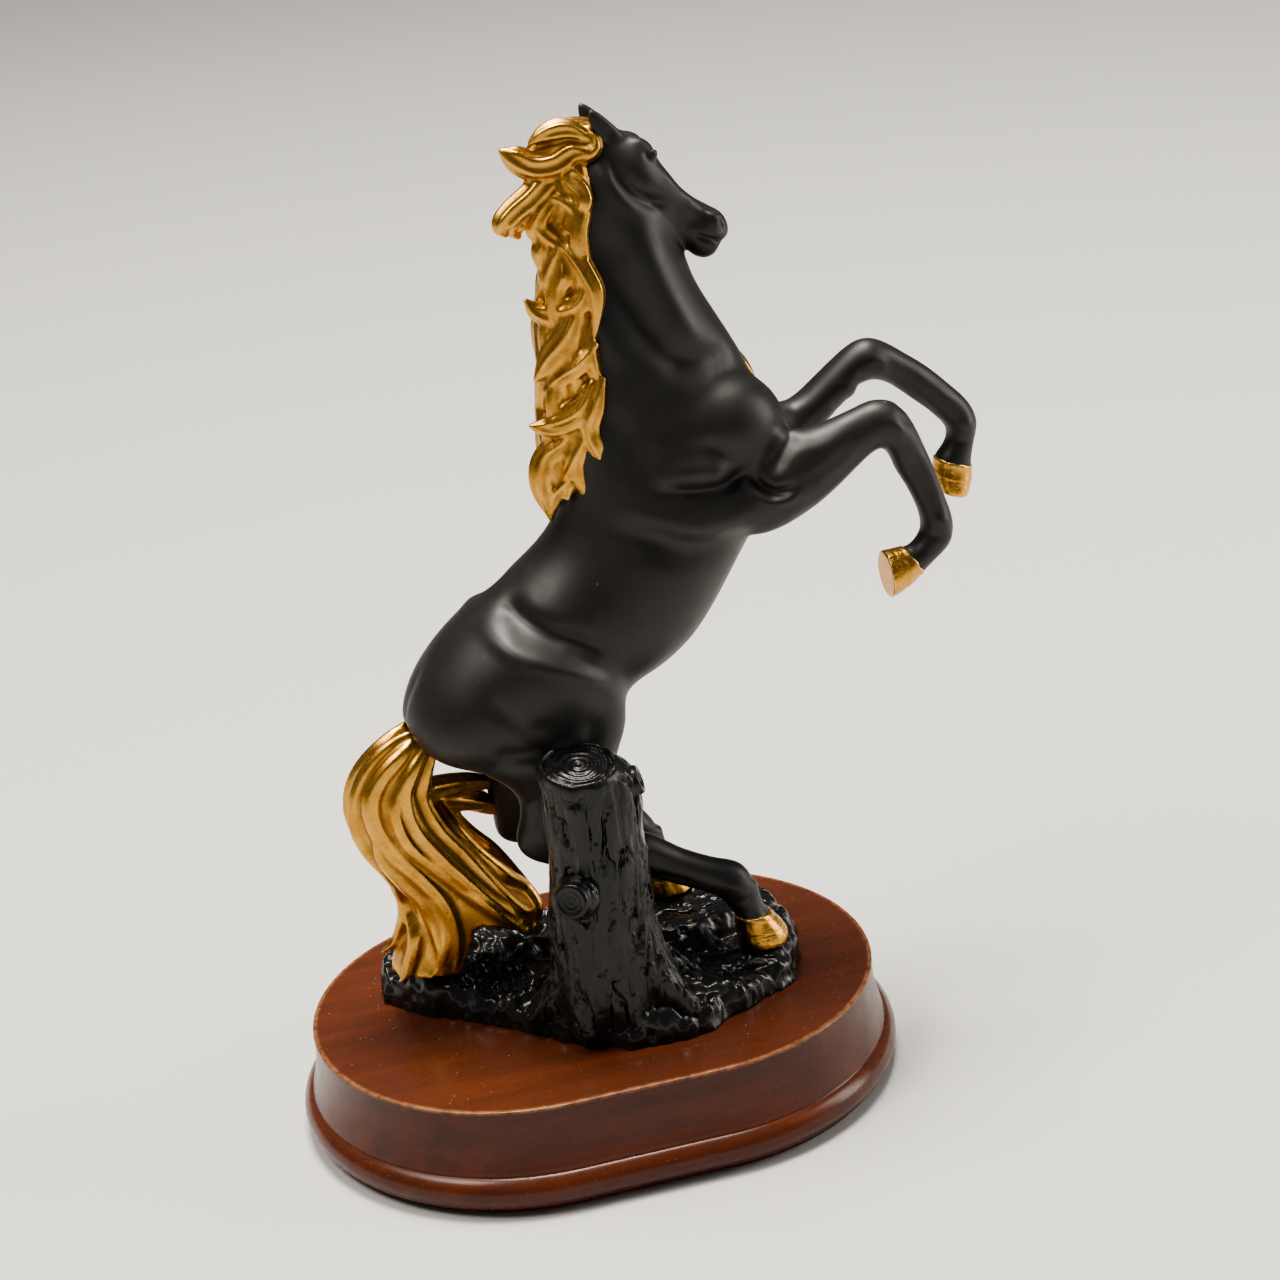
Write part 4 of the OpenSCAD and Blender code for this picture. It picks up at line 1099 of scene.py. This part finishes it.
def bark(x, y, z, deep=1.0):
    """Depth of the bark's furrows at a place: long cracks that wander, with pits between."""
    wander = noise(x / 7, y / 7, z / 16, 31)
    long = noise(x / 2.9 + wander, y / 2.9 + wander, z / 19, 32)
    fine = noise(x / 0.9 + wander, y / 0.9, z / 6, 33)
    crack = smooth_step(0.2, 0.0, np.abs(long + 0.16 * fine))
    patch = smooth_step(-0.1, 0.35, noise(x / 6, y / 6, z / 9, 34))
    pit = smooth_step(0.45, 0.75, noise(x / 1.3, y / 1.3, z / 2.6, 35)) * patch
    ripple = 0.24 * noise(x / 1.6, y / 1.6, z / 8, 36) + 0.05 * noise(x / 0.6, y / 0.6, z / 1.2, 37)
    return deep * (0.8 * crack * (0.35 + 0.65 * patch) + 0.26 * pit + ripple)


def add_stump(voxel):
    clay = Clay(*span(["stump"], 9.0), voxel, NEAR)
    x, y, z = clay.coordinates()
    dx, dy = x - np.interp(z, TRUNK_Z, TRUNK_X), y - np.interp(z, TRUNK_Z, TRUNK_Y)
    away = np.sqrt(dx**2 + dy**2)
    angle = np.arctan2(dy, dx)
    radius = np.interp(z, TRUNK_Z, TRUNK_RADIUS) * (1 + 0.03 * np.cos(2 * angle + 0.7))
    radius = radius + 0.7 * noise(np.cos(angle) * 1.2, np.sin(angle) * 1.2, z / 22, 38)
    wander = 0.6 + 0.5 * noise(np.cos(angle), np.sin(angle), 0, 39)
    root = np.maximum(0, np.cos(2.5 * angle + wander)) ** 2
    spread = (0.5 + 3 * root) * np.exp(-np.maximum(z - 36, 0) / 8)
    trunk = (away - radius - spread) * 0.92
    # A shoulder on the right that the knot grows from, then the roots
    lobe = np.sqrt(((x - 4.6) / 8.2) ** 2 + ((y + 30.5) / 8.5) ** 2 + ((z - 101) / 11.5) ** 2)
    trunk = soft_min(trunk, (lobe - 1) * 8.2, 3)
    for start, end, thick, thin in STUMP_ROOTS:
        a, along = np.array(start), np.subtract(end, start)
        t = sum(v * w for v, w in zip((x - a[0], y - a[1], z - a[2]), along)) / (along @ along)
        t = np.clip(t, 0, 1)
        gap = np.sqrt(sum((v - u - t * w) ** 2 for v, u, w in zip((x, y, z), a, along)))
        trunk = soft_min(trunk, gap - thick - t * (thin - thick), 5)
    # The sawn face: a flat disc with rings inside a thick rounded lip of bark
    head = TRUNK_Z[-1]
    rise = head + (y - TRUNK_Y[-1]) * FACE_SLOPE
    share = away / TRUNK_RADIUS[-1]
    squeezed = share + 0.045 * noise(dx / 4, dy / 4, 0, 40)
    inside = smooth_step(0.84, 0.76, share)
    rings = 0.26 * np.sin(squeezed * 2 * np.pi * 5.6) * inside
    groove = 0.7 * np.exp(-(((share - 0.79) / 0.035) ** 2))
    saw = 0.06 * noise(dx / 0.5, dy / 3, 0, 41)
    lip = 0.35 * noise(x / 3, y / 3, 0, 44)
    slump = 0.5 * np.maximum(x - 5.5, 0)
    top = z - rise + 0.9 * inside + rings + groove + saw + lip + slump
    below = rise - z
    furrows = bark(x, y, z, 1.6) * smooth_step(1.2, 4.5, below)
    clay.field = soft_max((trunk + furrows).astype(np.float32), top.astype(np.float32), 3)
    # Bark beads and blisters beside the long cracks
    blister = smooth_step(0.5, 0.8, noise(x / 1.6, y / 1.6, z / 1.9, 42))
    streak = smooth_step(0.3, 0.6, noise(x / 4, y / 4, z / 14, 43))
    clay.field -= (0.35 * blister * streak * smooth_step(1.5, 6, below)).astype(np.float32)
    leg = clay.read(level_set(*mesh_arrays("hind_leg_right"), voxel, NEAR))
    clay.field = soft_max(clay.field, -leg - 0.8, 1.5)
    clay.field = np.maximum(clay.field, (TRUNK_Z[0] + 1.5 - z).astype(np.float32))
    points, faces = largest_shell(*clay.cast())
    make_piece("stump_bark", points, faces, BARK, ["stump"], 1, 0.5)


# Where each sawn branch springs from, its direction, length, radius and the depth of its hollow
SAWN_BRANCHES = [
    ("branch_stub", (-8, -36, 77), (-0.565, -0.807, 0.174), 6, 4.6, 0.2),
    ("top_knot", (7.6, -31.5, 104), (0.93, -0.243, 0.27), 5.4, 3.7, 1.4),
]


def add_sawn_branch(name, node, base, direction, length, radius, hollow, voxel):
    """A short sawn limb with a swollen collar of bark, and a ringed or hollow end."""
    clay = Clay(*span([node], 7), voxel, NEAR)
    x, y, z = clay.coordinates()
    axis = np.array(direction) / np.linalg.norm(direction)
    along = sum((v - b) * a for v, b, a in zip((x, y, z), base, axis))
    away = np.sqrt(np.maximum(sum((v - b) ** 2 for v, b in zip((x, y, z), base)) - along**2, 0))
    collar = radius * (1 + 0.42 * np.exp(-(((along - length * 0.2) / (length * 0.5)) ** 2)))
    side = away - collar + bark(x, y, z, 0.45) * smooth_step(length, length * 0.7, along)
    rings = 0.06 * np.sin(away * 2 * np.pi / 1.3)
    rings = rings + 0.3 * smooth_step(radius * 0.86, radius * 0.72, away)
    bowl = hollow * smooth_step(radius * 0.75, radius * 0.2, away)
    end = along - length + rings + bowl
    back = -along - 5
    field = soft_max(side.astype(np.float32), end.astype(np.float32), 0.8)
    clay.field = np.maximum(field, back.astype(np.float32))
    points, faces = largest_shell(*clay.cast())
    make_piece(name, points, faces, BARK, [node], 1, 0.4)


# ------------------------------------------------------------------ ground

# The two wood screws: how far out they stand, their radius and their tips' height
SCREW_X, SCREW_RADIUS, SCREW_TIP = 32, 2.0, 34.5

# Outline of the rock on the plinth, (x, y)
GROUND_OUTLINE = [
    (62, 3), (60, 18), (52, 30), (34, 36), (8, 36), (-20, 35), (-44, 33), (-57, 24), (-57, 11),
    (-46, -1), (-32, -11), (-16, -28), (4, -41), (20, -40), (37, -32), (52, -23), (59, -10),
]


def outline_gap(x, y, outline):
    """Signed distance from a closed outline in the plane, negative inside."""
    gap2 = np.full(np.broadcast(x, y).shape, 1e9)
    inside = np.zeros(gap2.shape, bool)
    for (ax, ay), (bx, by) in zip(outline, np.roll(outline, -1, axis=0)):
        ex, ey = bx - ax, by - ay
        t = np.clip(((x - ax) * ex + (y - ay) * ey) / (ex * ex + ey * ey), 0, 1)
        gap2 = np.minimum(gap2, (x - ax - t * ex) ** 2 + (y - ay - t * ey) ** 2)
        crossing = (ay > y) != (by > y)
        inside ^= crossing & (x < ax + (y - ay) * ex / (ey if abs(ey) > 1e-9 else 1e-9))
    return np.where(inside, -1, 1) * np.sqrt(gap2)


def add_ground(voxel):
    low, high = span(["ground"], 3.5)
    base = span(["ground"], 0)[0][2]
    clay = Clay(low, high, voxel, NEAR)
    x, y, z = clay.coordinates()
    outline = smooth_path(GROUND_OUTLINE + GROUND_OUTLINE[:1], 5)[:-1]
    edge = outline_gap(x, y, outline).astype(np.float32)
    edge = edge + 1.3 * noise(x / 6, y / 6, 0, 51) + 0.6 * noise(x / 2.2, y / 2.2, z / 3, 52)
    # Lumps at the front left, streaks that run out from the trunk at the front right
    left = smooth_step(4, -14, x + 0.3 * y)
    lump = 1.0 - np.abs(noise(x / 7.5, y / 6.0, 0, 53)) * 2.0
    fold = 1.0 - np.abs(noise(x / 3.8 + 1.5 * lump, y / 3.2, 0, 54)) * 2.0
    spoke = np.arctan2(y + 22, x - 2)
    reach = np.sqrt((x - 2) ** 2 + (y + 22) ** 2)
    streak = 1.0 - np.abs(noise(spoke * 7, reach / 16, 0, 55)) * 2.0
    fine = noise(x / 1.5, y / 1.5, z / 1.5, 56)
    pebble = 1.0 - np.abs(noise(x / 2.6, y / 2.6, 0, 63)) * 2.0
    height = 36.6 + left * (1.5 * lump + 0.8 * fold + 0.55 * pebble)
    height = height + (1 - left) * (1.5 * streak + 0.7 * fold)
    height = height + 8 * np.exp(-(((x - 1) / 17) ** 2) - ((y + 22) / 17) ** 2)
    # The raised slab under the hind hooves: nearly flat, pitted, with a crack along its front
    slab_edge = np.sqrt(((x - 26) / 22) ** 2 + ((y - 14) / 22.5) ** 2)
    slab_edge = slab_edge + 0.09 * noise(x / 6, y / 6, 0, 57)
    slab = smooth_step(1.3, 0.75, slab_edge)
    pits = smooth_step(0.25, 0.6, noise(x / 2.6, y / 2.0, 0, 58))
    pits = pits + 0.5 * smooth_step(0.3, 0.6, noise(x / 1.2, y / 1.1, 0, 59))
    slab_height = 45.0 + 0.5 * noise(x / 9, y / 7, 0, 60) - 0.55 * pits
    crack = np.abs(y - 3.5 - 1.6 * noise(x / 6, 0, 0, 61) - 0.06 * (x - 26))
    inner_slab = smooth_step(1.05, 0.85, slab_edge)
    slab_height = slab_height - 1.3 * smooth_step(0.75, 0.1, crack) * inner_slab
    height = height * (1 - slab) + slab_height * slab
    # Boulders behind the tail and along the back
    boulder = 1 - np.abs(noise(x / 8 + 0.4, y / 7, 0, 62)) * 2
    back = smooth_step(-6, 8, y) * (1 - slab) * smooth_step(14, -4, x)
    height = height + back * (2.4 * boulder + 0.6)
    hind = np.exp(-(((x - 47) / 8) ** 2) - ((y + 14) / 8) ** 2)
    height = height * (1 - hind) + 40.5 * hind
    # Lumps that the tail's foot sinks into
    foot = np.exp(-(((x + 46.5) / 11) ** 2) - ((y + 5) / 10) ** 2)
    height = height + foot * (4.8 + 0.9 * fold)
    height = height + 0.22 * fine * (1 - 0.6 * slab)
    top = (z - height).astype(np.float32) * 0.8
    side = edge + 0.12 * (z - base)
    field = soft_max(top, side.astype(np.float32), 4.2)
    field = np.maximum(field, base - z)
    for side in (-1, 1):
        hole = np.maximum(np.sqrt((x - side * SCREW_X) ** 2 + y**2) - SCREW_RADIUS, z - SCREW_TIP)
        field = np.maximum(field, -hole)
    clay.field = field.astype(np.float32)
    points, faces = largest_shell(*clay.cast())
    make_piece("ground_rock", points, faces, ROCK, ["ground"], 1, 0.6)


# ------------------------------------------------------------------ plinth


def plinth_section(low, high):
    """The plinth's section as (out from the top's edge, z): a bead at the foot, and a wall that
    rises in a shallow cove to a sharp edge."""
    radius, middle = 5.4, low + 5.3
    rows = [(-40, low), (-20, low), (radius * 0.5, low)]
    for angle in np.radians(np.arange(-60, 63, 6.1)):
        rows.append((radius * math.cos(angle), middle + radius * math.sin(angle)))
    foot_x, foot_z = rows[-1]
    rows.append((foot_x - 0.15, foot_z + 0.05))
    wall = high - 0.4 - foot_z
    for t in np.linspace(0.04, 1, 18):
        rows.append((foot_x * (1 - t) ** 2 - 0.3 * math.sin(math.pi * t), foot_z + wall * t))
    rows += [(-0.1, high - 0.15), (-0.35, high), (-0.8, high), (-2, high), (-5, high)]
    return rows + [(-12, high), (-24, high), (-40, high)]


def bored(obj, bores):
    """Cuts upright round holes of (x, radius, top) up from under an object."""
    scene = bpy.context.scene.collection
    for x, radius, top in bores:
        mesh = bpy.data.meshes.new("bore")
        form = bmesh.new()
        bmesh.ops.create_cone(
            form, cap_ends=True, segments=48, radius1=radius * MM, radius2=radius * MM,
            depth=2 * top * MM,
        )
        form.to_mesh(mesh)
        form.free()
        cutter = bpy.data.objects.new("bore", mesh)
        cutter.location.x = x * MM
        scene.objects.link(cutter)
        cut = obj.modifiers.new("bore", "BOOLEAN")
        cut.operation, cut.solver, cut.object = "DIFFERENCE", "EXACT", cutter
        whole = obj.evaluated_get(bpy.context.evaluated_depsgraph_get())
        obj.data = bpy.data.meshes.new_from_object(whole)
        obj.modifiers.clear()
        bpy.data.objects.remove(cutter)


def add_plinth():
    (_, _, low), (length, width, high) = span(["plinth"], 0)
    radius = width - 5.4
    half = length - width
    turn = np.radians(np.linspace(-90, 90, 73))
    spokes = [(half, math.cos(a), math.sin(a)) for a in turn]
    spokes += [(x, 0.0, 1.0) for x in np.linspace(half, -half, 14)[1:-1]]
    spokes += [(-half, -math.cos(a), -math.sin(a)) for a in turn]
    spokes += [(x, 0.0, -1.0) for x in np.linspace(-half, half, 14)[1:-1]]
    rows = plinth_section(low, high)
    points = [
        (x + (radius + out) * c, (radius + out) * s, z) for out, z in rows for x, c, s in spokes
    ]
    count, sides = len(rows), len(spokes)
    faces = []
    for i in range(count - 1):
        for j in range(sides):
            k = (j + 1) % sides
            faces.append((i * sides + j, i * sides + k, (i + 1) * sides + k, (i + 1) * sides + j))
    faces.append(tuple(reversed(range(sides))))
    faces.append(tuple(range((count - 1) * sides, count * sides)))
    plinth = make_piece(
        "plinth_turned", np.array(points), faces, WOOD, ["plinth"], 0
    )
    # Only the top's edge is rubbed, and polish gathers above the bead
    seam = max(z for out, z in rows if out > 2.0 and z < low + 11)
    marks = [
        -1.0 if -0.9 < out < 0.2 and z > high - 0.6 else 0.6 * math.exp(-abs(z - seam))
        for out, z in rows
    ]
    plinth.data.attributes["hollow"].data.foreach_set("value", np.repeat(marks, sides))
    bored(plinth, [(s * SCREW_X, r, top) for s in (-1, 1) for r, top in ((2.3, 40), (6.1, 6.6))])


# ------------------------------------------------------------------ studio

CAMERA_PLACE = Vector((-0.1200, -0.6363, 0.3949))
CAMERA_YAW, CAMERA_PITCH, CAMERA_ROLL = -12.72, 22.07, -5.86
CAMERA_LENS = 73.125


def add_camera():
    yaw, pitch, roll = (math.radians(v) for v in (CAMERA_YAW, CAMERA_PITCH, CAMERA_ROLL))
    back = Vector(
        (math.sin(yaw) * math.cos(pitch), -math.cos(yaw) * math.cos(pitch), math.sin(pitch))
    )
    right = Vector((math.cos(yaw), math.sin(yaw), 0))
    up = back.cross(right)
    right, up = (
        right * math.cos(roll) + up * math.sin(roll),
        up * math.cos(roll) - right * math.sin(roll),
    )
    data = bpy.data.cameras.new("camera")
    data.lens = CAMERA_LENS
    data.sensor_width = 36
    data.clip_start = 0.01
    camera = bpy.data.objects.new("camera", data)
    camera.matrix_world = Matrix((right, up, back)).transposed().to_4x4()
    camera.location = CAMERA_PLACE
    bpy.context.scene.collection.objects.link(camera)
    bpy.context.scene.camera = camera


def add_light(name, place, target, size, power, colour):
    data = bpy.data.lights.new(name, "AREA")
    data.shape = "RECTANGLE"
    data.size, data.size_y = size
    data.energy = power
    data.color = colour
    light = bpy.data.objects.new(name, data)
    light.location = place
    light.rotation_euler = (Vector(target) - Vector(place)).to_track_quat("-Z", "Y").to_euler()
    bpy.context.scene.collection.objects.link(light)


def add_studio():
    floor_mesh = bpy.data.meshes.new("floor")
    half = 14.0
    floor_mesh.from_pydata(
        [(-half, -half, 0), (half, -half, 0), (half, half, 0), (-half, half, 0)], [], [(0, 1, 2, 3)]
    )
    material, _, shader = new_material("pale_floor")
    shader.inputs["Base Color"].default_value = (0.56, 0.555, 0.54, 1)
    shader.inputs["Roughness"].default_value = 0.8
    floor_mesh.materials.append(material)
    floor = bpy.data.objects.new("floor", floor_mesh)
    bpy.context.scene.collection.objects.link(floor)
    world = bpy.data.worlds.new("studio")
    world.use_nodes = True
    world.node_tree.nodes["Background"].inputs[0].default_value = (0.96, 0.96, 1.0, 1)
    world.node_tree.nodes["Background"].inputs[1].default_value = 0.13
    bpy.context.scene.world = world
    bpy.context.scene.view_settings.look = "AgX - Medium High Contrast"
    sun_data = bpy.data.lights.new("sun", "SUN")
    sun_data.energy = 0.9
    sun_data.angle = math.radians(25)
    sun_data.color = (1, 0.95, 0.88)
    sun = bpy.data.objects.new("sun", sun_data)
    sun.rotation_euler = Vector((0.6, -0.05, -1.0)).to_track_quat("-Z", "Y").to_euler()
    bpy.context.scene.collection.objects.link(sun)
    middle = (0, 0, 0.15)
    add_light("overhead", (0.1, 0.3, 2.4), middle, (0.9, 0.9), 105, (1, 0.95, 0.87))
    add_light("key", (-0.5, -0.2, 0.9), middle, (0.3, 0.3), 4, (1, 0.94, 0.85))
    add_light("fill", (1.2, -0.25, 0.5), middle, (0.4, 0.9), 9, (1, 0.96, 0.9))


# ------------------------------------------------------------------ putting it together

body_voxel = 0.5
fine_voxel = 0.36
hoof_voxel, branch_voxel = 0.28, 0.3
horse, horse_sets = horse_clay(body_voxel)
model_horse(horse)
horse_pieces(horse, horse_sets, body_voxel)
add_mane(fine_voxel)
add_mane_fall(fine_voxel)
add_tail(fine_voxel)
for name in HOOVES:
    add_hoof(name, hoof_voxel)
add_stump(fine_voxel)
for name, *shape in SAWN_BRANCHES:
    add_sawn_branch(name + "_bark", name, *shape, branch_voxel)
add_ground(0.42)
add_plinth()

KEPT = {
    "felt_pad": FELT,
    "mounting_screws": STEEL,
    "screw_washers": STEEL,
    "dowels": STEEL,
    "hoof_rods": STEEL,
}
for name, material in KEPT.items():
    nodes[name].data.materials.clear()
    nodes[name].data.materials.append(material)

add_camera()
add_studio()
